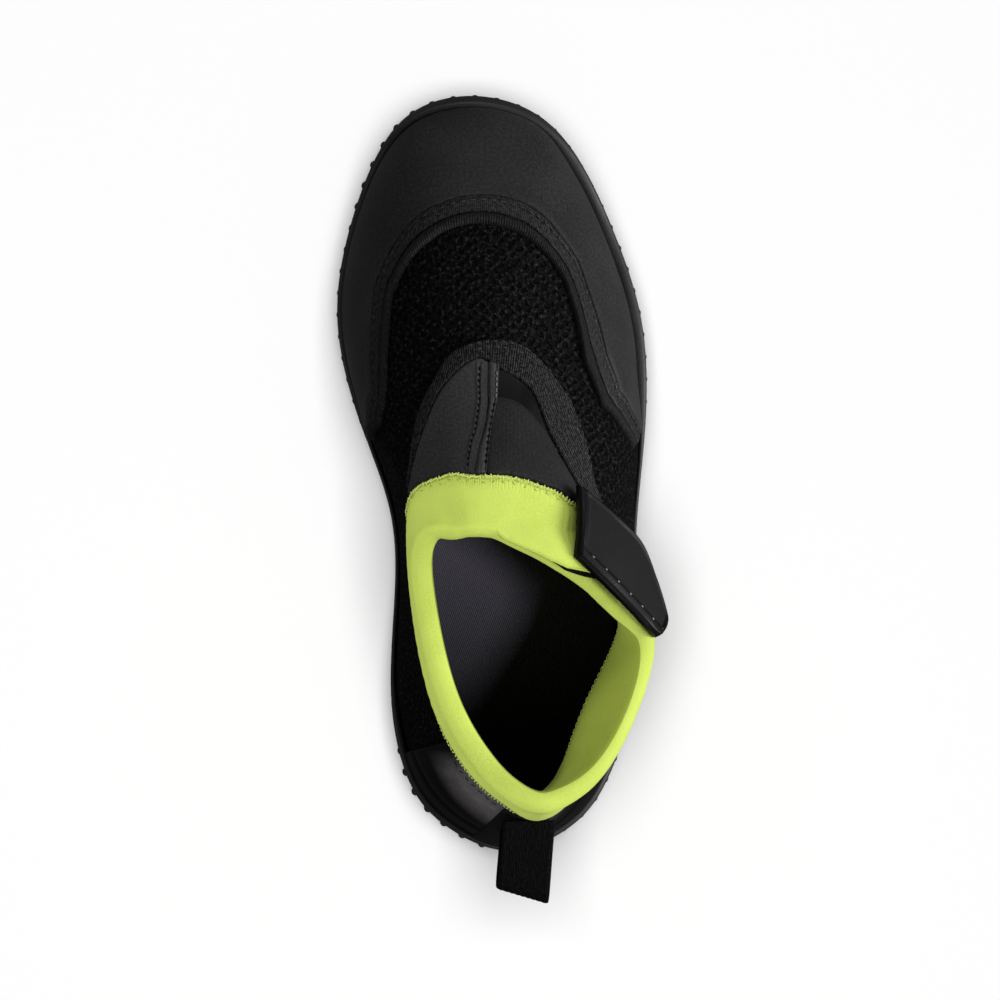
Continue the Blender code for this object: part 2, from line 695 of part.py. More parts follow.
def main():
    for thing in list(bpy.data.objects):
        bpy.data.objects.remove(thing)
    rubber = material("rubber", (0.012, 0.012, 0.013), 0.55)
    neoprene = material("neoprene", (0.030, 0.029, 0.030), 0.85)
    footbed = material("footbed", (0.020, 0.019, 0.024), 0.90)
    mesh_cloth = material("air mesh", (0.014, 0.014, 0.014), 0.70)
    lime = material("lime binding", (0.62, 0.75, 0.07), 0.80)
    synthetic = material("smooth synthetic", (0.022, 0.021, 0.021), 0.50)
    webbing = material("webbing", (0.010, 0.010, 0.010), 0.75)
    tab_rubber = material("tab rubber", (0.035, 0.034, 0.034), 0.65)
    make_sole(rubber)
    make_insole(footbed)
    make_upper(mesh_cloth)
    make_binding(lime)
    q = columns_between(GUARD_SEAM[0].rib, GUARD_SEAM[-1].rib)
    gap = 1.5 * GAP / rib_length(q)
    guard_top = np.maximum(along_seam(GUARD_SEAM, q), over_rim(q) + 0.03)
    make_overlay("toe_guard", neoprene, q, over_rim(q), guard_top, OVERLAY_WALL, 5)
    tape_top = np.maximum(along_seam(TOE_TAPE, q), guard_top + 0.03)
    make_overlay("toe_tape", synthetic, q, guard_top + gap, tape_top, TAPE_WALL, 1)
    q = columns_between(*COUNTER_RIBS)
    make_overlay("heel_counter", synthetic, q, over_rim(q), under_cuff(q), OVERLAY_WALL, 4)
    q = columns_between(PANEL_SEAM[0].rib, PANEL_SEAM[-1].rib)
    low = along_seam(PANEL_SEAM, q)
    make_overlay("instep_panel", neoprene, q, low, under_cuff(q), OVERLAY_WALL, 3)
    q = columns_between(STRAP_SEAM[0].rib, STRAP_SEAM[-1].rib)
    low = along_seam(STRAP_SEAM, q)
    make_overlay("strap", neoprene, q, low, under_cuff(q), STRAP_WALL, 3)
    q = columns_between(ARCH_TAPE[0].rib, ARCH_TAPE[-1].rib)
    inner = np.where(q < STRAP_SEAM[0].rib, along_seam(PANEL_SEAM, q), along_seam(STRAP_SEAM, q))
    gap = 1.5 * GAP / rib_length(q)
    make_overlay("arch_tape", synthetic, q, along_seam(ARCH_TAPE, q), inner - gap, TAPE_WALL, 1)
    q = columns_between(HOOK_PAD_SEAM[0].rib, HOOK_PAD_SEAM[-1].rib)
    low = along_seam(HOOK_PAD_SEAM, q)
    make_overlay("hook_pad", webbing, q, low, under_cuff(q), HOOK_PAD_WALL, 2)
    make_tab(tab_rubber)
    make_pull_loop(webbing)


if __name__ == "__main__":
    main()
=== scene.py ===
"""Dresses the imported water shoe: fabrics, seams, stitches, bound collar, moulded tab and sole.

Metres, +Z up, toe to +Y, the outer side of the foot to +X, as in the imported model.
The upper is worked out from the same table of ribs as the solids.
"""

import json
import math

from collections import namedtuple

import bmesh
import bpy
import numpy as np
from mathutils import Matrix, Vector

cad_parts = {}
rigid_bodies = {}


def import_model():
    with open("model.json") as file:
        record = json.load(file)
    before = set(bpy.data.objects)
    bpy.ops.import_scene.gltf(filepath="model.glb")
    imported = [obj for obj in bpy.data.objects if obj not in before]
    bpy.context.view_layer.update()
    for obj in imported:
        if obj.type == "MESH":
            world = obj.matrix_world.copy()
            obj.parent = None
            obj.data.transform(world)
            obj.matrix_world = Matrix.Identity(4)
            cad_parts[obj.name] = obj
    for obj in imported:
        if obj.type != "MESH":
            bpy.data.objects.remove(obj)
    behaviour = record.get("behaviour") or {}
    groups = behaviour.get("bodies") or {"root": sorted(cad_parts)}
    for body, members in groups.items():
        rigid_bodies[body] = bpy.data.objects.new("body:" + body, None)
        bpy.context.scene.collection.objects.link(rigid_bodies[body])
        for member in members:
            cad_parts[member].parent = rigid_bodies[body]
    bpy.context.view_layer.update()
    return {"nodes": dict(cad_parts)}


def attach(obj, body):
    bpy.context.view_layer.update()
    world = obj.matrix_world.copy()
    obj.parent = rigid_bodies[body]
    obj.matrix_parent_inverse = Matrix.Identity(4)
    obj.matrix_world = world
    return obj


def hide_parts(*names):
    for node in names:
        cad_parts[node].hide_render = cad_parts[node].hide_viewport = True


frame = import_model()

# Driving dimensions of the whole shoe
LENGTH = 0.205
BALL_WIDTH = 0.0857
INSTEP_HEIGHT = 0.068
HEEL_HEIGHT = 0.063
SEAT_FROM_HEEL_END = 0.030

# Sole
SOLE_THICKNESS = 0.0080
TOE_SPRING = 0.0075
HEEL_BEVEL = 0.0020
ARCH_LIFT = 0.0018
LUG_HEIGHT = 0.0016
KNOB_REACH = 0.0011
KNOB_FOOT = 0.0022
KNOB_TOP = 0.0052
KNOB_SHARE = 0.40
KNOBS_PER_SIDE = 40
GROOVE_DEPTH = 0.0007
RIM_WALL = 0.0022
RIM_SIDE = 0.0050
RIM_TOE = 0.0100
RIM_HEEL = 0.0085

# Upper and what is sewn to it
UPPER_WALL = 0.0020
OVERLAY_WALL = 0.0010
BINDING_WALL = 0.0016
STRAP_WALL = 0.0014
TAB_WALL = 0.0022
LOOP_WIDTH = 0.0147
LOOP_WALL = 0.0015
LOOP_REACH = 0.0185
LOOP_DROP = 0.0095
LOOP_SKEW = 0.30
LOOP_LEAN = 0.08
INSOLE_THICKNESS = 0.0030
GAP = 0.0003

# Mesh density: columns all the way round, or per side of the sole, and rows up a rib
LUG_COLUMNS = 7
CLOTH_COLUMNS = 133
CLOTH_ROWS = 19
SHELL_COLUMNS = 501
SHELL_ROWS = 84
COLLAR_COLUMNS = 701
BAND_COLUMNS = 150
SOLE_COLUMNS_PER_SIDE = 260
FOOTBED_COLUMNS_PER_SIDE = 150
CENTRE_SEAM_ROWS = 90
CENTRE_SEAM_COLUMNS = 45

# One row for each rib of the upper, from the heel round the inner side to the toe and back
# round the outer side. A rib climbs from the sole's edge to the collar's edge.
#   side_x, side_y   the sole's edge: shares of BALL_WIDTH and LENGTH
#   top_x, top_y     the collar's edge: shares of BALL_WIDTH and LENGTH
#   top_z            the collar's height: a share of HEEL_HEIGHT, or of INSTEP_HEIGHT
#   instep           how far the height follows INSTEP_HEIGHT instead of HEEL_HEIGHT
#   rise, bulge      lower handle: share of the rib's height, share of BALL_WIDTH outwards
#   reach, drop      upper handle: share of the way back to the sole's edge, share of the height
#   cuff             how far the collar's binding comes down outside: a share of BALL_WIDTH
#   tuck             upper handle: share of BALL_WIDTH inwards, where the collar folds out as a lip
Rib = namedtuple(
    "Rib", "side_x side_y top_x top_y top_z instep rise bulge reach drop cuff tuck"
)
RIBS = (
    Rib(0.000, 0.000, 0.062, 0.082, 1.000, 0.0, 0.35, 0.010, 0.10, 0.35, 0.130, 0.00),
    Rib(-0.190, 0.030, -0.029, 0.101, 0.970, 0.0, 0.35, 0.015, 0.12, 0.35, 0.130, 0.00),
    Rib(-0.316, 0.090, -0.111, 0.137, 0.915, 0.0, 0.35, 0.020, 0.15, 0.35, 0.130, 0.00),
    Rib(-0.375, 0.200, -0.216, 0.217, 0.865, 0.0, 0.38, 0.028, 0.18, 0.35, 0.130, 0.00),
    Rib(-0.365, 0.330, -0.282, 0.332, 0.865, 0.2, 0.40, 0.030, 0.25, 0.35, 0.135, 0.00),
    Rib(-0.378, 0.450, -0.294, 0.402, 0.910, 0.8, 0.45, 0.030, 0.35, 0.30, 0.150, 0.00),
    Rib(-0.476, 0.570, -0.257, 0.429, 0.965, 1.0, 0.50, 0.030, 0.40, 0.27, 0.155, 0.00),
    Rib(-0.546, 0.700, -0.204, 0.430, 0.985, 1.0, 0.55, 0.025, 0.42, 0.28, 0.170, 0.00),
    Rib(-0.511, 0.820, -0.169, 0.429, 0.995, 1.0, 0.60, 0.018, 0.42, 0.31, 0.180, 0.00),
    Rib(-0.423, 0.920, -0.146, 0.428, 1.000, 1.0, 0.62, 0.012, 0.42, 0.33, 0.190, 0.00),
    Rib(-0.300, 0.980, -0.128, 0.426, 1.000, 1.0, 0.62, 0.008, 0.42, 0.34, 0.190, 0.00),
    Rib(-0.117, 1.000, -0.111, 0.424, 1.000, 1.0, 0.62, 0.006, 0.42, 0.34, 0.190, 0.00),
    Rib(0.078, 0.980, -0.088, 0.422, 0.998, 1.0, 0.62, 0.008, 0.42, 0.34, 0.195, 0.00),
    Rib(0.226, 0.920, -0.053, 0.418, 0.990, 1.0, 0.62, 0.012, 0.42, 0.33, 0.200, 0.00),
    Rib(0.345, 0.820, 0.000, 0.407, 0.972, 1.0, 0.60, 0.018, 0.42, 0.30, 0.210, 0.00),
    Rib(0.433, 0.700, 0.076, 0.391, 0.940, 1.0, 0.55, 0.025, 0.42, 0.27, 0.210, 0.00),
    Rib(0.443, 0.570, 0.187, 0.363, 0.880, 1.0, 0.50, 0.030, 0.38, 0.25, 0.180, 0.00),
    Rib(0.416, 0.450, 0.303, 0.333, 0.850, 0.6, 0.42, 0.032, 0.30, 0.30, 0.140, 0.02),
    Rib(0.408, 0.330, 0.400, 0.295, 0.830, 0.1, 0.40, 0.030, 0.15, 0.35, 0.130, 0.09),
    Rib(0.400, 0.200, 0.362, 0.210, 0.835, 0.0, 0.38, 0.028, 0.10, 0.35, 0.130, 0.26),
    Rib(0.318, 0.090, 0.257, 0.129, 0.920, 0.0, 0.35, 0.020, 0.10, 0.35, 0.130, 0.20),
    Rib(0.196, 0.030, 0.152, 0.092, 0.975, 0.0, 0.35, 0.015, 0.10, 0.35, 0.130, 0.07),
)
ROWS = len(RIBS)
TOE_ROW = ROWS // 2

# The seams, each row a point on the upper: which rib it lies at (the numbers of the rows above,
# with fractions between them) and how far up that rib.
Seam = namedtuple("Seam", "rib climb")
GUARD_SEAM = (
    Seam(5.90, 0.20), Seam(6.20, 0.38), Seam(6.88, 0.49), Seam(7.22, 0.46), Seam(8.04, 0.38),
    Seam(9.22, 0.40), Seam(10.18, 0.41), Seam(11.52, 0.40), Seam(12.88, 0.39), Seam(13.50, 0.38),
    Seam(14.22, 0.42), Seam(14.58, 0.45), Seam(15.12, 0.44), Seam(15.60, 0.34), Seam(16.05, 0.20),
)
TOE_TAPE = (
    Seam(5.98, 0.36), Seam(6.46, 0.51), Seam(6.90, 0.55), Seam(7.34, 0.55), Seam(7.92, 0.50),
    Seam(8.34, 0.46), Seam(9.78, 0.47), Seam(11.00, 0.46), Seam(12.82, 0.46), Seam(13.26, 0.46),
    Seam(13.74, 0.49), Seam(14.20, 0.54), Seam(14.88, 0.55), Seam(15.48, 0.47), Seam(15.96, 0.36),
)
PANEL_SEAM = (
    Seam(6.00, 0.770), Seam(6.50, 0.775), Seam(7.32, 0.760), Seam(8.36, 0.750), Seam(9.90, 0.730),
    Seam(11.25, 0.705),
)
ARCH_TAPE = (
    Seam(6.00, 0.745), Seam(6.82, 0.745), Seam(7.86, 0.712), Seam(9.14, 0.705), Seam(9.86, 0.690),
    Seam(10.74, 0.680), Seam(12.60, 0.655), Seam(14.18, 0.640), Seam(14.78, 0.660),
    Seam(15.40, 0.695),
)
STRAP_SEAM = (
    Seam(11.35, 0.765), Seam(11.80, 0.764), Seam(12.86, 0.753), Seam(13.54, 0.750),
    Seam(14.20, 0.757), Seam(15.40, 0.770),
)
COUNTER_RIBS = (-2.45, 2.45)

# The moulded tab on the strap's free end, one row for each station along it, outwards.
#   rib              where round the collar the row lies
#   x, y             shares of BALL_WIDTH and LENGTH
#   lift             above the collar's edge at that rib: a share of BALL_WIDTH
Tab = namedtuple("Tab", "rib front_x front_y front_lift rear_x rear_y rear_lift")
TAB = (
    Tab(15.3, 0.194, 0.486, -0.046, 0.182, 0.398, 0.042),
    Tab(16.0, 0.303, 0.448, -0.055, 0.264, 0.365, 0.053),
    Tab(16.6, 0.384, 0.414, -0.073, 0.344, 0.332, 0.044),
    Tab(17.2, 0.431, 0.368, -0.065, 0.401, 0.307, 0.042),
    Tab(17.7, 0.464, 0.323, -0.053, 0.432, 0.295, 0.030),
    Tab(18.0, 0.464, 0.307, -0.032, 0.446, 0.296, 0.014),
)


def closed_spline(points):
    """The smooth closed curve through the rows of points, as a function of the row number."""
    points = np.asarray(points, float)
    count = len(points)
    step = np.eye(count)
    following, leading = np.roll(points, -1, axis=0), np.roll(points, 1, axis=0)
    matrix = 4 * step + np.roll(step, 1, axis=0) + np.roll(step, -1, axis=0)
    slopes = np.linalg.solve(matrix, 3 * (following - leading))

    def curve(q):
        q = np.asarray(q, float) % count
        i = np.floor(q).astype(int) % count
        j = (i + 1) % count
        f = (q - np.floor(q))[..., None]
        start = (2 * f**3 - 3 * f**2 + 1) * points[i] + (f**3 - 2 * f**2 + f) * slopes[i]
        end = (3 * f**2 - 2 * f**3) * points[j] + (f**3 - f**2) * slopes[j]
        return start + end

    return curve


def rib_lengths():
    """The table's rows in metres: side x, y, top x, y, z, the handles, the cuff and the tuck."""
    rows = []
    for rib in RIBS:
        height = HEEL_HEIGHT + rib.instep * (INSTEP_HEIGHT - HEEL_HEIGHT)
        rows.append((
            rib.side_x * BALL_WIDTH,
            rib.side_y * LENGTH - SEAT_FROM_HEEL_END,
            rib.top_x * BALL_WIDTH,
            rib.top_y * LENGTH - SEAT_FROM_HEEL_END,
            rib.top_z * height,
            rib.rise,
            rib.bulge * BALL_WIDTH,
            rib.reach,
            rib.drop,
            rib.cuff * BALL_WIDTH,
            rib.tuck * BALL_WIDTH,
        ))
    return rows


RING = closed_spline(rib_lengths())


def smooth_step(x):
    """From 0 to 1, level at both ends."""
    x = np.clip(x, 0.0, 1.0)
    return x * x * (3 - 2 * x)


def hump(x, start, end, rise, fall=None):
    """1 from start to end, with a smooth flank inside each of them."""
    return smooth_step((x - start) / rise) * smooth_step((end - x) / (fall or rise))


def share_of_length(y):
    """How far from the heel's end a place lies, as a share of LENGTH."""
    return (np.asarray(y) + SEAT_FROM_HEEL_END) / LENGTH


def ground(y):
    """Height of the lugs' faces: flat at heel and ball, lifted at the toe and the very back."""
    share = share_of_length(y)
    toe = TOE_SPRING * np.clip((share - 0.74) / 0.26, 0, None) ** 2
    heel = HEEL_BEVEL * np.clip((0.06 - share) / 0.06, 0, None) ** 2
    return toe + heel


def floor(y):
    """Height of the cup's floor, which the insole lies on."""
    share = share_of_length(y)
    return ground(y) * (share > 0.5) + SOLE_THICKNESS


def web(y):
    """Height of the sole's underside between the lugs, hollowed a little under the arch."""
    share = share_of_length(y)
    return ground(y) + LUG_HEIGHT + ARCH_LIFT * hump(share, 0.30, 0.56, 0.08)


def outward(q):
    """Unit vector in plan that points out of the sole's edge."""
    step = 1e-3
    along = RING(np.asarray(q) + step)[..., :2] - RING(np.asarray(q) - step)[..., :2]
    along /= np.linalg.norm(along, axis=-1, keepdims=True)
    return np.stack([-along[..., 1], along[..., 0]], axis=-1)


def edge(q, inset, height):
    """The sole's edge, moved inwards by inset, at height above the ground curve."""
    xy = RING(q)[..., :2] - outward(q) * inset
    return np.concatenate([xy, (ground(xy[..., 1]) + height)[..., None]], axis=-1)


def surface(q, t):
    """A point of the upper's outer face: rib q, from t = 0 at the sole to t = 1 at the collar."""
    q, t = np.broadcast_arrays(np.asarray(q, float), np.asarray(t, float))
    ring, out = RING(q), outward(q)
    foot = ring[..., :2] - out * (KNOB_REACH + RIM_WALL + GAP)
    foot_z = floor(foot[..., 1]) + GAP
    top, top_z = ring[..., 2:4], ring[..., 4]
    rise, bulge, reach, drop = (ring[..., i] for i in range(5, 9))
    tuck = ring[..., 10]
    height = top_z - foot_z
    low = foot + out * bulge[..., None]
    high = top + (foot - top) * reach[..., None] - out * tuck[..., None]
    controls = (
        np.concatenate([foot, foot_z[..., None]], axis=-1),
        np.concatenate([low, (foot_z + rise * height)[..., None]], axis=-1),
        np.concatenate([high, (top_z - drop * height)[..., None]], axis=-1),
        np.concatenate([top, top_z[..., None]], axis=-1),
    )
    t = t[..., None]
    weights = ((1 - t) ** 3, 3 * t * (1 - t) ** 2, 3 * t**2 * (1 - t), t**3)
    return sum(w * p for w, p in zip(weights, controls))


def smooth_skin(q, t, offset):
    """A point at offset outside the upper's outer face, without its folds."""
    step = 1e-3
    q, t = np.broadcast_arrays(np.asarray(q, float), np.asarray(t, float))
    along = surface(q + step, t) - surface(q - step, t)
    up = surface(q, t + step) - surface(q, t - step)
    normal = np.cross(up, along)
    normal /= np.linalg.norm(normal, axis=-1, keepdims=True)
    return surface(q, t) + normal * np.asarray(offset)[..., None]


def even_rows(per_side):
    """Row numbers that divide each side of the sole's edge into stretches of equal length."""
    found = []
    for first, last in ((0, TOE_ROW), (TOE_ROW, ROWS)):
        fine = np.linspace(first, last, 40 * (last - first) + 1)
        steps = np.linalg.norm(np.diff(RING(fine)[:, :2], axis=0), axis=1)
        lengths = np.concatenate([[0], np.cumsum(steps)])
        found.append(np.interp(np.linspace(0, lengths[-1], per_side + 1)[:-1], lengths, fine))
    return np.concatenate(found)


def rim_height(q):
    """How far the sole's rim climbs the upper: highest at the toe, then the heel."""
    share = share_of_length(RING(q)[..., 1])
    toe = (RIM_TOE - RIM_SIDE) * smooth_step((share - 0.80) / 0.20)
    heel = (RIM_HEEL - RIM_SIDE) * smooth_step((0.16 - share) / 0.16)
    return RIM_SIDE + toe + heel


COLUMNS = even_rows(KNOBS_PER_SIDE)


def knob_columns():
    """Two row numbers for each knob: where it starts, and where it ends."""
    following = np.append(COLUMNS[1:], ROWS)
    ends = COLUMNS + (following - COLUMNS) * KNOB_SHARE
    return np.stack([COLUMNS, ends], axis=1).ravel()


def lug_cell(row, column, rows):
    """Whether a cell of the underside stands down as a lug."""
    share = row / rows
    middle = 2 <= column <= 4
    if 0.09 < share < 0.21 or 0.62 < share < 0.72:
        return middle
    if 0.07 < share < 0.23 or 0.60 < share < 0.74:
        return False
    if row % 4 == 1:
        return column in (1, 3, 5)
    return row % 4 == 3 and column in (2, 4)


# How far a point lies along its rib, in metres from the sole, read from a fine table
TABLE_RIBS = np.linspace(0, ROWS, 441)
TABLE_SHARES = np.linspace(0, 1, 121)
TABLE_POINTS = surface(TABLE_RIBS[:, None], TABLE_SHARES[None, :])
TABLE_RUNS = np.zeros(TABLE_POINTS.shape[:2])
TABLE_RUNS[:, 1:] = np.cumsum(np.linalg.norm(np.diff(TABLE_POINTS, axis=1), axis=-1), axis=1)


def rib_runs(q):
    """A row of distances from the sole for each rib q, one for each of the table's shares."""
    x = (np.asarray(q, float) % ROWS) / ROWS * (len(TABLE_RIBS) - 1)
    i = np.floor(x).astype(int)
    f = (x - i)[..., None]
    return TABLE_RUNS[i] * (1 - f) + TABLE_RUNS[np.minimum(i + 1, len(TABLE_RIBS) - 1)] * f


def rib_length(q):
    """Distance from the sole to the end of each rib q."""
    return rib_runs(q)[..., -1]


def run_of(q, t):
    """Distance from the sole along each rib q at share t."""
    q, t = np.broadcast_arrays(np.asarray(q, float), np.asarray(t, float))
    return np.array([np.interp(share, TABLE_SHARES, run) for share, run in zip(t, rib_runs(q))])


def shares_at(q, runs):
    """Shares for a grid of distances, a column for each rib q."""
    table = rib_runs(q)
    return np.stack([np.interp(runs[:, i], table[i], TABLE_SHARES) for i in range(len(q))], axis=1)


def read_table(rows, q, column=1):
    """A column of a table whose first column is the rib, read between its rows."""
    columns = np.array(rows).T
    return np.interp(q, columns[0], columns[column])


def seam_run(seam, q):
    """Distance from the sole to a seam along each rib q."""
    return run_of(q, read_table(seam, q))


def rounded(distance, radius):
    """Share of a strip's full height at a distance from its rounded edge."""
    x = np.clip(np.asarray(distance) / radius, 0, 1)
    return np.sqrt(np.clip(1 - (1 - x) ** 2, 0, 1))


def bump(x, centre, width):
    """A soft ridge, 1 at its centre."""
    return np.exp(-(((x - centre) / width) ** 2))


# Places across a rounded edge, as shares of its radius
EDGE_STEPS = 1 - np.cos(np.radians([0, 20, 42, 65, 90]))
# Spacing of the columns along a sewn piece, and how far its underside is sunk in what it lies on
COLUMN_STEP = 0.001
SUNK = 0.0002


def spread(total, radius, step):
    """Distances across a strip, closer together at its two rounded edges."""
    radius = min(radius, 0.45 * total)
    count = max(2, int(round((total - 2 * radius) / step)))
    middle = np.linspace(radius, total - radius, count + 1)[1:-1]
    edge = radius * EDGE_STEPS
    return np.concatenate([edge, middle, total - edge[::-1]])


def lengths_along(points):
    """Distance of each point of a line from its first point."""
    steps = np.linalg.norm(np.diff(points, axis=0), axis=1)
    return np.concatenate([[0], np.cumsum(steps)])


def read_line(points, where):
    """Points of a line at places given as numbers of its own points, with fractions."""
    steps = np.arange(len(points))
    return np.stack([np.interp(where, steps, axis) for axis in points.T], axis=1)


class Mesh:
    """Collects grids of points and the strips between them, then makes one object."""

    def __init__(self):
        self.points = []
        self.count = 0
        self.quads = []
        self.cloth = []
        self.slots = []

    def add(self, points):
        """Keeps the points, and returns their numbers in the same arrangement."""
        points = np.asarray(points, float)
        shape = points.shape[:-1]
        flat = points.reshape(-1, 3)
        ids = np.arange(self.count, self.count + len(flat)).reshape(shape)
        self.points.append(flat)
        self.count += len(flat)
        return ids

    def join(self, low, high, cloth_low=None, cloth_high=None, slot=0, closed=False):
        """Quads between two rows of points, or between grids of them."""
        if closed:
            low = np.concatenate([low, low[..., :1]], axis=-1)
            high = np.concatenate([high, high[..., :1]], axis=-1)
        if cloth_low is None:
            cloth_low = np.zeros(low.shape + (2,))
            cloth_high = cloth_low
        quads = np.stack([low[..., :-1], low[..., 1:], high[..., 1:], high[..., :-1]], axis=-1)
        corners = [cloth_low[..., :-1, :], cloth_low[..., 1:, :]]
        corners += [cloth_high[..., 1:, :], cloth_high[..., :-1, :]]
        cloth = np.stack(corners, axis=-2)
        self.quads.append(quads.reshape(-1, 4))
        self.cloth.append(cloth.reshape(-1, 4, 2))
        self.slots.append(np.full(len(self.quads[-1]), slot))

    def grid(self, points, cloth=None, slot=0, closed=False):
        """A sheet of quads over rows of points. With closed, the cloth has one more column."""
        ids = self.add(points)
        if cloth is None:
            self.join(ids[:-1], ids[1:], slot=slot, closed=closed)
        else:
            self.join(ids[:-1], ids[1:], cloth[:-1], cloth[1:], slot, closed)
        return ids

    def close(self, over, under, cloth, slot=0, rows=(0, -1)):
        """Walls between two equal grids, along their first and last rows and columns."""
        for row in rows:
            self.join(under[row], over[row], cloth[row], cloth[row], slot)
        for column in (0, -1):
            edge_cloth = cloth[:, column]
            self.join(under[:, column], over[:, column], edge_cloth, edge_cloth, slot)

    def make(self, name, materials, nodes=(), sharp=None):
        """The piece: joined where its points meet, riding on the shoe, in place of the nodes."""
        points = np.concatenate(self.points)
        quads = np.concatenate(self.quads)
        cloth = np.concatenate(self.cloth)
        slots = np.concatenate(self.slots)
        mesh = bpy.data.meshes.new(name)
        mesh.from_pydata(points.tolist(), [], quads.tolist())
        layer = mesh.uv_layers.new(name="cloth")
        layer.data.foreach_set("uv", cloth.reshape(-1).astype(np.float32))
        mesh.polygons.foreach_set("material_index", slots.astype(np.int32))
        work = bmesh.new()
        work.from_mesh(mesh)
        bmesh.ops.remove_doubles(work, verts=work.verts, dist=2e-7)
        bmesh.ops.recalc_face_normals(work, faces=work.faces)
        work.to_mesh(mesh)
        work.free()
        mesh.shade_smooth()
        if sharp:
            mesh.set_sharp_from_angle(angle=sharp)
        for material in materials:
            mesh.materials.append(material)
        thing = bpy.data.objects.new(name, mesh)
        bpy.context.scene.collection.objects.link(thing)
        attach(thing, "root")
        if nodes:
            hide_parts(*nodes)


def unrolled_cloth():
    """Lays the upper's outer face out flat, and returns the flat place in millimetres of (q, t)."""
    rows, columns = CLOTH_ROWS, CLOTH_COLUMNS
    points = surface(np.linspace(0, ROWS, columns), np.linspace(0, 1, rows)[:, None])
    ids = np.arange(rows * columns).reshape(rows, columns)
    quads = np.stack([ids[:-1, :-1], ids[:-1, 1:], ids[1:, 1:], ids[1:, :-1]], axis=-1)
    mesh = bpy.data.meshes.new("flat")
    mesh.from_pydata(points.reshape(-1, 3).tolist(), [], quads.reshape(-1, 4).tolist())
    mesh.uv_layers.new(name="flat")
    thing = bpy.data.objects.new("flat", mesh)
    bpy.context.scene.collection.objects.link(thing)
    bpy.context.view_layer.objects.active = thing
    thing.select_set(True)
    bpy.ops.object.mode_set(mode="EDIT")
    bpy.ops.mesh.select_all(action="SELECT")
    bpy.ops.uv.unwrap(method="ANGLE_BASED", margin=0)
    bpy.ops.object.mode_set(mode="OBJECT")
    corners = np.zeros(len(mesh.loops) * 2)
    mesh.uv_layers["flat"].data.foreach_get("uv", corners)
    owners = np.zeros(len(mesh.loops), int)
    mesh.loops.foreach_get("vertex_index", owners)
    flat = np.zeros((rows * columns, 2))
    flat[owners] = corners.reshape(-1, 2)
    flat = flat.reshape(rows, columns, 2)
    bpy.data.objects.remove(thing)
    # The forefoot's middle gives the cloth's true scale and its upright direction
    forefoot = slice(columns * 8 // ROWS, columns * 14 // ROWS)
    low, middle, high = 8, 12, 16
    band = (slice(low - 2, high - 1), forefoot)
    real, laid = (np.linalg.norm(np.diff(grid[band], axis=0), axis=-1).sum() for grid in (points, flat))
    toe = int(round(columns * TOE_ROW / ROWS))
    up = flat[low, toe] - flat[high, toe]
    up /= np.linalg.norm(up)
    turn = np.array([[up[1], -up[0]], [up[0], up[1]]])
    flat = (flat - flat[middle, toe]) @ turn.T * (real / laid) * 1000
    across = flat[middle, forefoot][-1] - flat[middle, forefoot][0]
    if across[0] < 0:
        flat[..., 0] *= -1

    def place(q, t):
        q, t = np.broadcast_arrays(np.asarray(q, float), np.asarray(t, float))
        x = np.clip(np.where((q < 0) | (q > ROWS), q % ROWS, q) / ROWS, 0, 1) * (columns - 1)
        y = np.clip(t, 0, 1) * (rows - 1)
        i, j = np.minimum(x.astype(int), columns - 2), np.minimum(y.astype(int), rows - 2)
        f, g = (x - i)[..., None], (y - j)[..., None]
        below = flat[j, i] * (1 - f) + flat[j, i + 1] * f
        above = flat[j + 1, i] * (1 - f) + flat[j + 1, i + 1] * f
        return below * (1 - g) + above * g

    return place


def strip_ribs(first, last, climb, radius, step):
    """Ribs spaced evenly along a strip, closer at its ends, with the distance of each from the start."""
    fine = np.linspace(first, last, 400)
    points = surface(fine, climb(fine))
    lengths = lengths_along(points)
    distances = spread(lengths[-1], radius, step)
    return np.interp(distances, lengths, fine), distances


def panel(name, material, slot_name, nodes, first, last, low, high, wall,
          radius=0.0008, base=0.0, relief=None, across=0.001, run_along=False):
    """A piece sewn on the upper, from rib first to rib last, between two lines given as distances.

    Its cloth is the upper's unrolled cloth or, with run_along, a tape along the piece.
    """

    def middle(q):
        return shares_at(q, ((low(q) + high(q)) / 2)[None, :])[0]

    q, passed = strip_ribs(first, last, middle, radius, COLUMN_STEP)
    bottom, top = low(q), high(q)
    width = np.maximum(top - bottom, 1e-5)
    edge = np.minimum(radius, 0.45 * width)
    count = max(2, int(round((width.max() - 2 * radius) / across)))
    between = np.linspace(0, 1, count + 1)[1:-1]
    runs = [bottom + edge * e for e in EDGE_STEPS]
    runs += [bottom + edge + (width - 2 * edge) * b for b in between]
    runs += [top - edge * e for e in EDGE_STEPS[::-1]]
    runs = np.array(runs)
    t = shares_at(q, runs)
    height = rounded(np.minimum(runs - bottom, top - runs), edge)
    height = height * rounded(passed, radius) * rounded(passed[-1] - passed, radius)
    offset = base + wall * height
    if relief:
        offset = offset + relief(q, runs - bottom, width) * height
    if run_along:
        cloth = np.stack([passed + 0 * t, runs - bottom], axis=-1) * 1000
    else:
        cloth = CLOTH(q, t)
    mesh = Mesh()
    over = mesh.grid(skin(q, t, offset), cloth)
    under = mesh.grid(skin(q, t, base - SUNK), cloth)
    mesh.close(over, under, cloth)
    mesh.make(name, [material], nodes)


# The rings of a stitch or a knob: place along it, and radius, as shares of its own
STITCH_RINGS = ((-0.5, 0.35), (-0.42, 0.8), (-0.2, 1.0), (0.2, 1.0), (0.42, 0.8), (0.5, 0.35))


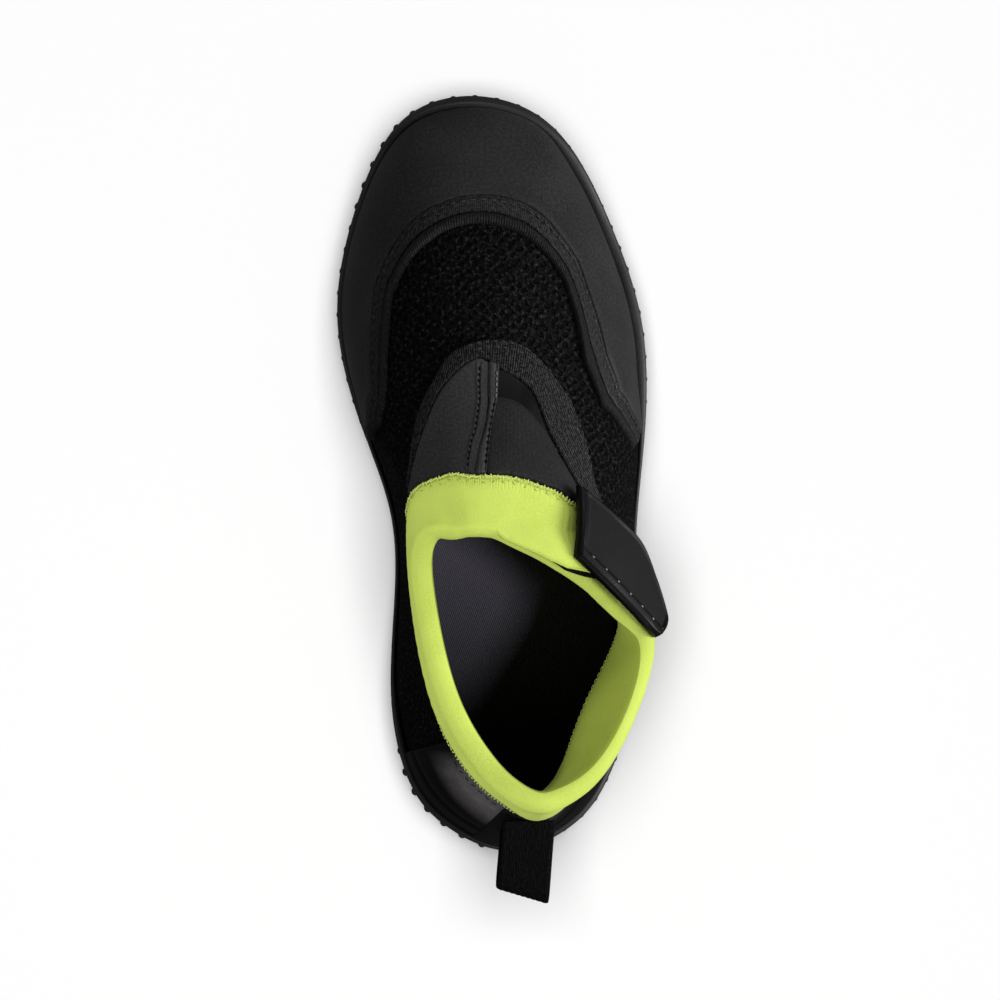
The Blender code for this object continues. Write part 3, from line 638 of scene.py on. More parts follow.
def capsules(mesh, centres, along, out, length, radius, flat=0.75, sides=6):
    """Short rounded threads, one at each centre, flattened towards the direction out."""
    centres, along, out = (np.asarray(a, float) for a in (centres, along, out))
    along = along / np.linalg.norm(along, axis=1, keepdims=True)
    out = out - along * (out * along).sum(axis=1, keepdims=True)
    out = out / np.linalg.norm(out, axis=1, keepdims=True)
    beside = np.cross(along, out)
    turn = np.linspace(0, 2 * math.pi, sides, endpoint=False)
    rings = []
    for place, size in STITCH_RINGS:
        around = beside[:, None] * np.cos(turn)[:, None]
        around = around + out[:, None] * np.sin(turn)[:, None] * flat
        rings.append(centres[:, None] + along[:, None] * place * length + around * radius * size)
    ids = mesh.add(np.stack(rings, axis=1))
    for i in range(len(STITCH_RINGS) - 1):
        mesh.join(ids[:, i], ids[:, i + 1], closed=True)
    for ring in (ids[:, 0], ids[:, -1]):
        for k in range(sides // 2 - 1):
            mesh.join(ring[:, [k, k + 1]], ring[:, [sides - 1 - k, sides - 2 - k]])


def walk(points, pitch):
    """Evenly spaced places along a line, as numbers of its own points with fractions."""
    lengths = lengths_along(points)
    count = max(1, int(lengths[-1] / pitch))
    distances = (np.arange(count) + 0.5) * lengths[-1] / count
    return np.interp(distances, lengths, np.arange(len(points)))


def seam_threads(mesh, q, t, height, pitch, length, radius, slant=0.0, zigzag=False):
    """Stitches along the line of ribs q at shares t, standing height over the upper's face."""
    height = np.broadcast_to(np.asarray(height, float), np.shape(q))
    points = skin(q, t, height)
    where = walk(points, pitch)
    at_q, at_t, at_h = read_line(np.stack([q, t, height], axis=1), where).T
    centres = skin(at_q, at_t, at_h)
    out = skin(at_q, at_t, at_h + 0.001) - centres
    ahead = read_line(points, np.minimum(where + 0.3, len(q) - 1))
    along = ahead - read_line(points, np.maximum(where - 0.3, 0))
    along /= np.linalg.norm(along, axis=1, keepdims=True)
    beside = np.cross(out, along)
    beside /= np.linalg.norm(beside, axis=1, keepdims=True)
    lean = np.full(len(where), slant)
    if zigzag:
        lean[1::2] *= -1
    along = along * np.cos(lean)[:, None] + beside * np.sin(lean)[:, None]
    capsules(mesh, centres, along, out, length, radius)


class Look:
    """A material built from nodes. Its cloth coordinates are millimetres on the laid-out fabric."""

    def __init__(self, name, roughness=0.8, **sockets):
        self.material = bpy.data.materials.new(name)
        self.material.use_nodes = True
        self.tree = self.material.node_tree
        self.shader = self.tree.nodes["Principled BSDF"]
        self.set("Roughness", roughness)
        for socket, value in sockets.items():
            self.set(socket.replace("_", " "), value)

    def set(self, socket, value):
        if isinstance(value, bpy.types.NodeSocket):
            self.tree.links.new(value, self.shader.inputs[socket])
        else:
            self.shader.inputs[socket].default_value = value

    def node(self, kind, inputs=(), **settings):
        made = self.tree.nodes.new("ShaderNode" + kind)
        for key, value in settings.items():
            setattr(made, key, value)
        for key, value in dict(inputs).items():
            if isinstance(value, bpy.types.NodeSocket):
                self.tree.links.new(value, made.inputs[key])
            else:
                made.inputs[key].default_value = value
        return made

    def cloth(self, turn=0.0):
        flat = self.node("UVMap", uv_map="cloth").outputs["UV"]
        return self.node("Mapping", {"Vector": flat, "Rotation": (0, 0, turn)}).outputs["Vector"]

    def place(self, scale=1000.0):
        where = self.node("TexCoord").outputs["Object"]
        inputs = {"Vector": where, "Scale": (scale, scale, scale)}
        return self.node("Mapping", inputs).outputs["Vector"]

    def noise(self, vector, scale, detail=2.0, roughness=0.55):
        inputs = {"Vector": vector, "Scale": scale, "Detail": detail, "Roughness": roughness}
        return self.node("TexNoise", inputs).outputs["Fac"]

    def cells(self, vector, scale, jitter):
        inputs = {"Vector": vector, "Scale": scale, "Randomness": jitter}
        return self.node("TexVoronoi", inputs).outputs["Distance"]

    def waves(self, vector, scale, bend, bend_scale=1.0):
        inputs = {"Vector": vector, "Scale": scale, "Distortion": bend, "Detail Scale": bend_scale}
        return self.node("TexWave", inputs).outputs["Fac"]

    def math(self, operation, a, b=0.0):
        return self.node("Math", {0: a, 1: b}, operation=operation).outputs[0]

    def mix(self, a, share_a, b, share_b):
        """The sum of two values, each times its share."""
        return self.math("ADD", self.math("MULTIPLY", a, share_a), self.math("MULTIPLY", b, share_b))

    def fade(self, axis, start, end, least=0.0):
        """From least to 1 along an axis of the object, between two places in millimetres."""
        where = self.node("SeparateXYZ", {0: self.place()}).outputs[axis]
        inputs = {"Value": where, "From Min": start, "From Max": end, "To Min": least}
        return self.node("MapRange", inputs).outputs["Result"]

    def ramp(self, value, *stops):
        made = self.node("ValToRGB", {0: value})
        steps = made.color_ramp.elements
        while len(steps) < len(stops):
            steps.new(0.5)
        for step, (where, colour) in zip(steps, stops):
            step.position = where
            step.color = (*colour, 1) if isinstance(colour, tuple) else (colour, colour, colour, 1)
        return made.outputs["Color"]

    def blend(self, share, a, b):
        made = self.node("Mix", {0: share}, data_type="RGBA")
        for socket, value in zip(made.inputs[6:8], (a, b)):
            if isinstance(value, bpy.types.NodeSocket):
                self.tree.links.new(value, socket)
            else:
                socket.default_value = (*value, 1)
        return made.outputs[2]

    def raise_by(self, height, strength, distance, under=None):
        inputs = {"Height": height, "Strength": strength, "Distance": distance}
        if under is not None:
            inputs["Normal"] = under
        return self.node("Bump", inputs).outputs["Normal"]


def shade(colour, factor):
    """A colour made darker or lighter."""
    return tuple(min(1.0, c * factor) for c in colour)


def jersey(name, colour, grain=1.0, pitch=0.62, level=0.12):
    """Neoprene faced with a close knit: fine wales, a speckled nap and slow shifts of tone."""
    look = Look(name, 0.60, Sheen_Weight=0.03, Sheen_Roughness=0.45, Specular_IOR_Level=level)
    wales = look.waves(look.cloth(), scale=1 / (2 * pitch), bend=1.2, bend_scale=2.0)
    nap = look.noise(look.cloth(), scale=1.3, detail=4.0, roughness=0.8)
    slow = look.noise(look.cloth(), scale=0.05, detail=2.0)
    tone = look.mix(nap, 0.85, slow, 0.25)
    dark, light = shade(colour, 1 - 0.65 * grain), shade(colour, 1 + 1.1 * grain)
    look.set("Base Color", look.ramp(tone, (0.45, dark), (0.55, colour), (0.65, light)))
    normal = look.raise_by(wales, strength=0.25, distance=0.00015)
    look.set("Normal", look.raise_by(nap, strength=0.35, distance=0.0002, under=normal))
    return look.material


def air_mesh(name):
    """Open spacer mesh: rows of round holes in painted shade, between twisted ribs that shine a little
    and carry painted glints.
    """
    look = Look(name, roughness=0.55, Specular_IOR_Level=0.025)
    wander = look.noise(look.cloth(), scale=0.35, detail=1.0)
    shift = look.node("VectorMath", {0: look.cloth(turn=math.pi / 4)}, operation="ADD")
    look.tree.links.new(look.math("MULTIPLY", wander, 1.4), shift.inputs[1])
    holes = look.cells(shift.outputs[0], scale=0.44, jitter=0.32)
    threads = look.waves(look.cloth(turn=0.3), scale=0.75, bend=2.5, bend_scale=1.5)
    fibre = look.noise(look.cloth(), scale=0.95, detail=4.0, roughness=0.75)
    # Holes: near black, painted shade in their depth. Fibres: the darkest painted shade, the lightest
    # painted glints
    open_share = look.ramp(holes, (0.24, 0.0), (0.40, 1.0))
    shaded_fibre, dull, bright = (0.0003, 0.0003, 0.0003), (0.0016, 0.0016, 0.0017), (0.016, 0.016, 0.017)
    tone = look.ramp(fibre, (0.42, shaded_fibre), (0.54, dull), (0.65, bright))
    look.set("Base Color", look.blend(open_share, (0.0001, 0.0001, 0.0001), tone))
    look.set("Roughness", look.ramp(fibre, (0.35, 0.75), (0.75, 0.32)))
    normal = look.raise_by(open_share, strength=0.9, distance=0.0007)
    normal = look.raise_by(threads, strength=0.35, distance=0.0003, under=normal)
    look.set("Normal", look.raise_by(fibre, strength=0.5, distance=0.0003, under=normal))
    return look.material


def ribbed_tape(name, colour, pitch=0.9, gloss=0.45, painted_glint=0.0, level=0.1, spread=0.12):
    """Woven tape: ribs across its width, each a little uneven, with glossier threads, the lightest
    painted as glints.
    """
    look = Look(name, gloss, Specular_IOR_Level=level)
    ribs = look.waves(look.cloth(), scale=1 / (2 * pitch), bend=1.6, bend_scale=1.4)
    fibre = look.noise(look.cloth(), scale=1.1, detail=4.0, roughness=0.8)
    tone = look.mix(ribs, 0.15, fibre, 0.85)
    # The lightest tone, raised by the setting for glints, is painted light
    middle, dark, light = 0.51, shade(colour, 0.25), shade(colour, 2.2 + painted_glint)
    tones = ((middle - spread, dark), (middle, colour), (middle + spread, light))
    look.set("Base Color", look.ramp(tone, *tones))
    look.set("Roughness", look.ramp(fibre, (0.35, gloss + 0.25), (0.7, gloss)))
    normal = look.raise_by(ribs, strength=0.2 if painted_glint > 1 else 0.45, distance=0.0003)
    look.set("Normal", look.raise_by(fibre, strength=0.4, distance=0.0002, under=normal))
    return look.material


def smooth_cloth(name, colour, roughness, grain=0.3, coat=0.0, scale=0.9, level=0.15):
    """Smooth coated cloth or rubber: a fine grain, faint smears and a slow shift of tone."""
    look = Look(name, roughness, Specular_IOR_Level=level, Coat_Weight=coat, Coat_Roughness=0.3)
    fine = look.noise(look.place(), scale=scale, detail=4.0, roughness=0.65)
    slow = look.noise(look.place(), scale=0.08, detail=2.0)
    tone = look.mix(fine, 0.6, slow, 0.45)
    dark, light = shade(colour, 1 - grain), shade(colour, 1 + grain)
    look.set("Base Color", look.ramp(tone, (0.3, dark), (0.75, light)))
    look.set("Roughness", look.ramp(slow, (0.35, roughness - 0.08), (0.65, roughness + 0.1)))
    look.set("Normal", look.raise_by(fine, strength=0.3, distance=0.0002))
    return look.material


def counter_cloth(name):
    """Glossy synthetic: nearly black low down and in front, with a painted highlight along its upper
    part.
    """
    look = Look(name, roughness=0.38, Specular_IOR_Level=0.08, Coat_Weight=0.02, Coat_Roughness=0.3)
    # Mask of the painted highlight: high up, behind the front edge, fainter on the outer side
    highlight_inner_side, highlight_behind, high = look.fade(0, 5, -5, 0.22), look.fade(1, 0, -6), look.fade(2, 32, 42)
    smear = look.ramp(look.noise(look.place(), scale=0.22, detail=3.0), (0.35, 0.8), (0.65, 1.0))
    painted_highlight = look.math("MULTIPLY", high, highlight_behind)
    painted_highlight = look.math("MULTIPLY", painted_highlight, look.math("MULTIPLY", smear, highlight_inner_side))
    fine = look.noise(look.place(), scale=1.1, detail=3.0, roughness=0.7)
    fine = look.ramp(fine, (0.35, 0.7), (0.65, 1.0))
    # Near black where unlit, light grey where the highlight is painted
    tone = look.blend(painted_highlight, (0.0008, 0.0006, 0.0008), (0.140, 0.130, 0.136))
    shaded = look.node("VectorMath", {0: tone, 1: fine}, operation="MULTIPLY").outputs[0]
    look.set("Base Color", shaded)
    look.set("Normal", look.raise_by(fine, strength=0.25, distance=0.0002))
    return look.material


def lime_knit(name, colour):
    """Bright knit over thin foam: fine wales, soft mottling and a dry nap."""
    look = Look(name, roughness=0.88, Sheen_Weight=0.05, Sheen_Roughness=0.5, Specular_IOR_Level=0.1)
    wales = look.waves(look.cloth(), scale=0.85, bend=1.0, bend_scale=2.0)
    nap = look.noise(look.cloth(), scale=1.6, detail=3.0, roughness=0.65)
    slow = look.noise(look.cloth(), scale=0.07, detail=2.0)
    tone = look.mix(nap, 0.55, slow, 0.5)
    deep = (colour[0] * 0.86, colour[1] * 0.87, colour[2] * 0.75)
    look.set("Base Color", look.ramp(tone, (0.34, deep), (0.54, colour), (0.78, shade(colour, 1.06))))
    normal = look.raise_by(wales, strength=0.15, distance=0.0002)
    look.set("Normal", look.raise_by(nap, strength=0.35, distance=0.0003, under=normal))
    return look.material


def thread(name, colour, roughness=0.5, level=0.15):
    """Twisted thread: a fine slanting ply, with painted highlight on its crowns and painted shade
    between.
    """
    look = Look(name, roughness, Specular_IOR_Level=level)
    ply = look.waves(look.place(), scale=1.6, bend=1.0)
    # Painted shade in the ply's grooves and painted highlight on its crowns
    look.set("Base Color", look.ramp(ply, (0.2, shade(colour, 0.6)), (0.8, shade(colour, 1.3))))
    look.set("Normal", look.raise_by(ply, strength=0.4, distance=0.0001))
    return look.material


def footbed_cloth(name):
    """Ribbed knit glued on the footbed, with painted shade that darkens it towards the heel."""
    look = Look(name, roughness=0.9, Sheen_Weight=0.03, Specular_IOR_Level=0.05)
    ribs = look.waves(look.cloth(turn=0.35), scale=0.62, bend=1.0, bend_scale=1.0)
    nap = look.noise(look.cloth(), scale=2.0, detail=3.0, roughness=0.7)
    tone = look.mix(ribs, 0.33, nap, 0.70)
    dark, colour, light = (0.095, 0.089, 0.114), (0.155, 0.146, 0.186), (0.26, 0.247, 0.305)
    knit = look.ramp(tone, (0.3, dark), (0.55, colour), (0.85, light))
    # Painted shade: towards the heel the knit fades to near black, where the collar shades the insole
    look.set("Base Color", look.blend(look.fade(1, 5, 62), (0.018, 0.017, 0.019), knit))
    normal = look.raise_by(ribs, strength=0.5, distance=0.0003)
    look.set("Normal", look.raise_by(nap, strength=0.4, distance=0.0002, under=normal))
    return look.material


def pale_floor(name):
    """Plain studio floor, with the slightest shift of tone."""
    look = Look(name, roughness=0.9, Specular_IOR_Level=0.1)
    slow = look.noise(look.place(1.0), scale=0.6, detail=2.0)
    look.set("Base Color", look.ramp(slow, (0.3, 0.90), (0.7, 0.93)))
    return look.material


# Soft troughs and ridges of the stretched upper, each running up a rib.
#   rib, lean        where it lies at half height, and how far it leans over the whole rib
#   low, high        where it starts and ends, as shares of the rib
#   width            in ribs
#   depth            metres, negative for a trough
Fold = namedtuple("Fold", "rib lean low high width depth")
FOLDS = (
    Fold(5.55, 0.7, 0.10, 0.75, 0.22, -0.0007),
    Fold(6.15, 0.9, 0.15, 0.70, 0.20, 0.0005),
    Fold(4.75, 0.3, 0.20, 0.80, 0.25, -0.0005),
    Fold(16.35, -0.9, 0.15, 0.75, 0.20, -0.0007),
    Fold(17.05, -0.6, 0.10, 0.80, 0.22, 0.0005),
    Fold(17.75, -0.3, 0.15, 0.85, 0.22, -0.0006),
    Fold(15.30, -0.5, 0.45, 0.72, 0.18, -0.0005),
    Fold(7.10, 0.5, 0.50, 0.75, 0.20, -0.0004),
    Fold(2.90, 0.2, 0.25, 0.75, 0.30, -0.0005),
    Fold(19.60, -0.2, 0.25, 0.80, 0.30, -0.0005),
)
# How gently a fold ends, as a share of its rib
FOLD_END = 0.15


def creases(q, t):
    """How far the folded upper stands off its smooth form."""
    q, t = np.broadcast_arrays(np.asarray(q, float), np.asarray(t, float))
    total = np.zeros(q.shape)
    for fold in FOLDS:
        centre = fold.rib + fold.lean * (t - 0.5)
        apart = (q - centre + ROWS / 2) % ROWS - ROWS / 2
        total += fold.depth * bump(apart, 0, fold.width) * hump(t, fold.low, fold.high, FOLD_END)
    return total


# Where the wall stands back from the sole's rim at its foot, or bulges over it.
#   first, last      ribs
#   rise, fall       how gently it starts and ends, in ribs
#   back             metres, negative for a bulge
Step = namedtuple("Step", "first last rise fall back")
STEPS = (
    Step(12.0, 16.2, 1.2, 0.8, 0.0016),
    Step(15.8, 19.8, 0.8, 0.8, -0.0009),
    Step(2.5, 6.3, 0.8, 0.8, -0.0009),
)
# From where up a rib the step fades, and over how much of the rib
STEP_FADES_AT = 0.22
STEP_FADES_OVER = 0.30


def ledge(q):
    """How far the wall stands back at its foot, negative where it bulges."""
    q = np.asarray(q)
    return sum(step.back * hump(q, step.first, step.last, step.rise, step.fall) for step in STEPS)


def skin(q, t, offset):
    """A point at offset from the upper's outer face, folds and the ledge over the rim included."""
    q, t, offset = np.broadcast_arrays(*(np.asarray(a, float) for a in (q, t, offset)))
    back = ledge(q) * (1 - smooth_step((t - STEP_FADES_AT) / STEP_FADES_OVER))
    return smooth_skin(q, t, offset + creases(q, t) - back)


# How high the faces of the sewn pieces stand over the upper
OVERLAY_FACE = GAP + OVERLAY_WALL
STRAP_FACE = GAP + STRAP_WALL
BINDING_FACE = GAP + BINDING_WALL
STRIP_WALL = 0.0012
ROLL_WALL = 0.0016
INSTEP_TAPE_WALL = 0.0014
HEEL_TAPE_WALL = 0.0012
GLOSS_WALL = 0.0008
BINDING_HEM = 0.0007
FACING_HEM = 0.0006
# How round the binding's hems are, and how near to the upper their closed edges come
HEM_RADIUS = 0.0004
CLOSE = 0.0001
# Where the mudguard's flat strip ends and its smooth roll begins, as a share of their width
ROLL_SHARE = 0.58
# The least width of the mudguard and its tape at their ends
LEAST_WIDTH = 0.002
# How far a piece reaches under the one that is sewn over it
OVERLAP = 0.0004
# Rear edge of the tape round the front of the instep
INSTEP_TAPE_TOP = (
    Seam(6.00, 0.770), Seam(6.50, 0.775), Seam(8.36, 0.750), Seam(9.90, 0.730),
    Seam(11.04, 0.706), Seam(11.86, 0.720), Seam(13.06, 0.718), Seam(13.34, 0.725),
    Seam(13.86, 0.748), Seam(14.72, 0.765), Seam(15.40, 0.770),
)
# How far the stretched collar's edge sits back from its rib's end, and how much further down its
# hem reaches, in metres
Edging = namedtuple("Edging", "rib back hem")
EDGINGS = (
    Edging(0.0, 0.0000, 0.0022), Edging(1.0, 0.0000, 0.0020), Edging(2.5, 0.0000, 0.0014),
    Edging(7.2, 0.0000, 0.0013), Edging(8.5, 0.0008, 0.0008), Edging(9.5, 0.0012, 0.0000),
    Edging(11.0, 0.0018, 0.0000), Edging(12.5, 0.0022, 0.0004), Edging(14.5, 0.0024, 0.0013),
    Edging(15.5, 0.0026, 0.0017), Edging(16.5, 0.0033, 0.0014), Edging(17.0, 0.0028, 0.0008),
    Edging(17.5, 0.0010, 0.0003), Edging(18.0, 0.0000, 0.0000), Edging(20.6, 0.0000, 0.0000),
    Edging(21.4, 0.0000, 0.0016), Edging(22.0, 0.0000, 0.0022),
)
# The strap's own lime band: its first and last ribs, the ribs where it parts from the collar,
# shows its dark underside (partly its own colour, partly painted shade under its edge) and goes
# under the tab, its thickness, its width, its greatest lift over the collar, the radius it bends
# down with, and how far its rear edge lies past the collar's edge
BAND_FIRST = 12.0
BAND_LAST = 16.8
BAND_PARTS_AT = 12.6
DARK_EDGE_SHADE_FROM = 15.1
UNDER_TAB = 15.2
BAND_WALL = 0.0014
BAND_WIDTH = 0.0125
BAND_LIFT = 0.0032
BAND_BEND = 0.014
Past = namedtuple("Past", "rib run")
BAND_REAR = (
    Past(12.0, -0.0006), Past(12.4, 0.0006), Past(12.8, 0.0018), Past(13.2, 0.0026),
    Past(14.0, 0.0028), Past(15.0, 0.0033), Past(15.5, 0.0031), Past(16.0, 0.0016),
    Past(16.5, -0.0002), Past(16.8, -0.0020),
)
# How far down the inside the lime facing reaches, in metres
Facing = namedtuple("Facing", "rib depth")
FACING = (
    Facing(0.0, 0.0080), Facing(3.0, 0.0070), Facing(8.0, 0.0075), Facing(13.0, 0.0080),
    Facing(15.5, 0.0090), Facing(17.0, 0.0110), Facing(18.0, 0.0135), Facing(20.5, 0.0140),
    Facing(21.4, 0.0120), Facing(22.0, 0.0080),
)


def edge_run(q):
    """Distance up each rib to the collar's edge."""
    return rib_length(q) - read_table(EDGINGS, np.asarray(q) % ROWS)


# The slight waver of the hem: metres, radians to a rib, and radians at the heel
Wave = namedtuple("Wave", "height pace start")
HEM_WAVES = (Wave(0.00014, 34, 0), Wave(0.0001, 57, 1))
# How far the binding stands proud over the root of the loop
HEEL_SWELL = 0.0014


def collar_edge(q):
    """Share of each rib at the collar's edge, with the unit vectors up the rib and outwards there."""
    share = shares_at(q, edge_run(q)[None, :])[0]
    up = surface(q, share) - surface(q, share - 1e-3)
    out = smooth_skin(q, share, 0.001) - smooth_skin(q, share, 0.0)
    return share, *(v / np.linalg.norm(v, axis=-1, keepdims=True) for v in (up, out))


def hem_run(q):
    """Distance up each rib to the lower edge of the collar's binding."""
    q = np.asarray(q)
    waver = sum(wave.height * np.sin(wave.pace * q + wave.start) for wave in HEM_WAVES)
    lower = read_table(EDGINGS, q % ROWS, 2)
    return rib_length(q) - RING(q)[..., 9] - lower + waver


def over_rim_run(q):
    """Distance up each rib to just over the sole's rim."""
    return rim_height(q) + GAP


def guard_top(q):
    """Distance up each rib to the mudguard's inner edge."""
    return np.maximum(seam_run(GUARD_SEAM, q), over_rim_run(q) + LEAST_WIDTH)


def tape_top(q):
    """Distance up each rib to the inner edge of the tape along the mudguard."""
    return np.maximum(seam_run(TOE_TAPE, q), guard_top(q) + LEAST_WIDTH)


def roll_foot(q):
    """Distance up each rib to the line where that tape's strip ends and its roll begins."""
    return guard_top(q) + (tape_top(q) - guard_top(q)) * ROLL_SHARE


def make_shell():
    """The hollow upper: spacer mesh outside, dark lining inside."""
    q = np.linspace(0, ROWS, SHELL_COLUMNS)
    share = np.linspace(0, 1, SHELL_ROWS)
    t = shares_at(q, share[:, None] * edge_run(q)[None, :])
    cloth = CLOTH(q, t)
    shell = Mesh()
    outer = shell.grid(skin(q[:-1], t[:, :-1], 0.0), cloth, closed=True)
    rows = list(range(0, SHELL_ROWS - 1, 3)) + [SHELL_ROWS - 1]
    lining = skin(q[:-1], t[rows][:, :-1], -UPPER_WALL)
    inner = shell.grid(lining, cloth[rows], slot=1, closed=True)
    for end in (0, -1):
        shell.join(outer[end], inner[end], cloth[end], cloth[end], 1, closed=True)
    shell.make("upper_shell", [MESH_CLOTH, LINING], ["upper"])


def make_guard():
    """The mudguard, with a flat strip and a rounded roll sewn along its inner edge."""

    def relief(q, run, width):
        return 0.00025 * bump(run, width - 0.002, 0.0016)

    def piping(q, run, width):
        uneven = 0.5 + 0.5 * np.sin(q * 2.1)
        return -0.0003 * (bump(run, 0.0009, 0.00025) + bump(run, 0.0017, 0.0003) * uneven)

    first, last = GUARD_SEAM[0].rib, GUARD_SEAM[-1].rib
    panel("mudguard", GUARD_JERSEY, "neoprene", ["toe_guard"], first, last,
          over_rim_run, guard_top, OVERLAY_FACE, radius=0.0010, relief=relief)
    panel("mudguard_strip", STRIP_TAPE, "seam_tape", ["toe_tape"], first + 0.02, last - 0.02,
          lambda q: guard_top(q) - OVERLAP, lambda q: roll_foot(q) + OVERLAP / 2, STRIP_WALL,
          radius=0.0006, across=0.00025, run_along=True, relief=piping)
    panel("mudguard_roll", ROLL_TAPE, "seam_tape", [], first + 0.06, last - 0.06,
          roll_foot, tape_top, ROLL_WALL, radius=0.0016, across=0.0005, run_along=True)


def under_hem(q):
    """A line a little way under the collar's hem, where the pieces that it covers end."""
    return hem_run(q) + 0.001


def make_instep():
    """The inner panel and the strap's flap, the gloss patch in front, and the tape round them."""
    tape_rear = lambda q: seam_run(INSTEP_TAPE_TOP, q)
    strap_front = lambda q: seam_run(STRAP_SEAM, q)
    panel("instep_cloth", PANEL_JERSEY, "neoprene", ["instep_panel"], PANEL_SEAM[0].rib, 11.30,
          lambda q: tape_rear(q) - 0.0003, under_hem, OVERLAY_FACE, radius=0.0009)
    panel("strap_cloth", STRAP_JERSEY, "neoprene", ["strap"], 11.34, 15.6,
          strap_front, under_hem, STRAP_FACE, radius=0.0011)
    panel("instep_gloss", GLOSS, "smooth_synthetic", [], 11.45, 14.3,
          lambda q: tape_rear(q) - OVERLAP, lambda q: strap_front(q) + 2 * OVERLAP, GLOSS_WALL,
          radius=0.0005, across=0.0006)
    panel("instep_tape", ARCH_LOOK, "seam_tape", ["arch_tape"], 6.05, 15.8,
          lambda q: seam_run(ARCH_TAPE, q), tape_rear, INSTEP_TAPE_WALL,
          radius=0.0010, across=0.0005, run_along=True)


def make_counter():
    """The smooth panel round the heel, with a pressed line across it, and the tape at its back."""

    def relief(q, run, width):
        return -0.0004 * bump(run, width * 0.30, 0.0010)

    panel("counter_cloth", COUNTER_LOOK, "smooth_synthetic", ["heel_counter"], *COUNTER_RIBS,
          over_rim_run, under_hem, OVERLAY_FACE, radius=0.0009, relief=relief)
    panel("heel_tape", WEB_RIBS, "webbing", [], -0.55, 0.66,
          lambda q: over_rim_run(q) + 0.0006, lambda q: hem_run(q) - OVERLAP, HEEL_TAPE_WALL,
          radius=0.0006, base=OVERLAY_FACE - OVERLAP, across=0.0006, run_along=True)


def heel_swell(q):
    """How far the binding's lower part stands proud at the back, over the root of the loop."""
    around = (np.asarray(q) + ROWS / 2) % ROWS - ROWS / 2
    return HEEL_SWELL * hump(around, -1.6, 0.75, 0.9)


def make_collar():
    """The lime binding: a flat knitted face outside, a soft roll over the edge, a facing inside."""
    q = np.linspace(0, ROWS, COLLAR_COLUMNS)
    length = edge_run(q)
    cuff = length - hem_run(q)
    depth = read_table(FACING, q)
    top, up, out = collar_edge(q)
    rows, cloth_rows = [], []

    def add_row(below_edge, height, cloth_run):
        t = shares_at(q, (length - below_edge)[None, :])[0]
        rows.append(skin(q, t, height))
        cloth_rows.append(cloth_run)

    shares = np.concatenate([[0, 0.01, 0.03, 0.06], np.linspace(0.1, 1, 13)])
    for share in shares:
        near = cuff * share
        height = collar_height(near) + heel_swell(q) * (1 - smooth_step((share - 0.25) / 0.7))
        height = np.where(share == 0, CLOSE, height * rounded(near + CLOSE / 2, HEM_RADIUS))
        add_row(cuff - near, height, near)
    half = UPPER_WALL / 2 + BINDING_FACE
    centre = smooth_skin(q, top, -UPPER_WALL / 2)
    for angle in np.radians(np.linspace(0, 180, 13))[1:-1]:
        around = out * half * math.cos(angle) + up * BINDING_FACE * 1.15 * math.sin(angle)
        rows.append(centre + around)
        cloth_rows.append(cuff + half * angle)
    over = cuff + half * math.pi
    for share in np.concatenate([np.linspace(0, 0.94, 11), [0.97, 0.99, 1.0]]):
        down = depth * share
        left = depth - down
        thin = FACING_HEM + (BINDING_FACE - FACING_HEM) * smooth_step(left / 0.0045)
        thin = thin * rounded(left + CLOSE / 2, HEM_RADIUS) if share < 1 else 0 * left + CLOSE
        add_row(down, -UPPER_WALL - thin, over + down)
    for share in (0.999, 0.6, 0.2):
        add_row(depth * share, SUNK - UPPER_WALL, over + depth * share)
    for share in (0.2, 0.6, 0.999):
        add_row(cuff * share, -SUNK, cuff * (1 - share))
    rows.append(rows[0])
    cloth_rows.append(cloth_rows[0])
    points = np.array(rows)
    around = lengths_along(points[10])
    cloth = np.stack(np.broadcast_arrays(around, np.array(cloth_rows)), axis=-1) * 1000
    collar = Mesh()
    fold = len(shares) + 9
    ids = collar.add(points[:, :-1])
    # From the roll's inner side on, and all down the facing, the binding is a darker lime: painted shade
    for part, slot in ((slice(0, fold + 1), 0), (slice(fold, None), 1)):
        near, laid = ids[part], cloth[part]
        collar.join(near[:-1], near[1:], laid[:-1], laid[1:], slot, closed=True)
    collar.make("collar_band", [LIME, LIME_SHADED_INSIDE], ["collar_binding"])


def collar_height(near):
    """The binding's height over the upper, at a distance from its hem."""
    return BINDING_HEM + (BINDING_FACE - BINDING_HEM) * smooth_step(near / 0.0050)


def past_edge(q, runs, height):
    """Points up to and past the collar's edge, where a band bends down over its roll."""
    last = edge_run(q)
    up, out = collar_edge(q)[1:]
    past = np.maximum(runs - last, 0)[..., None]
    on_upper = skin(q, shares_at(q, np.minimum(runs, last)), height)
    return on_upper + up * past - out * past**2 / BAND_BEND


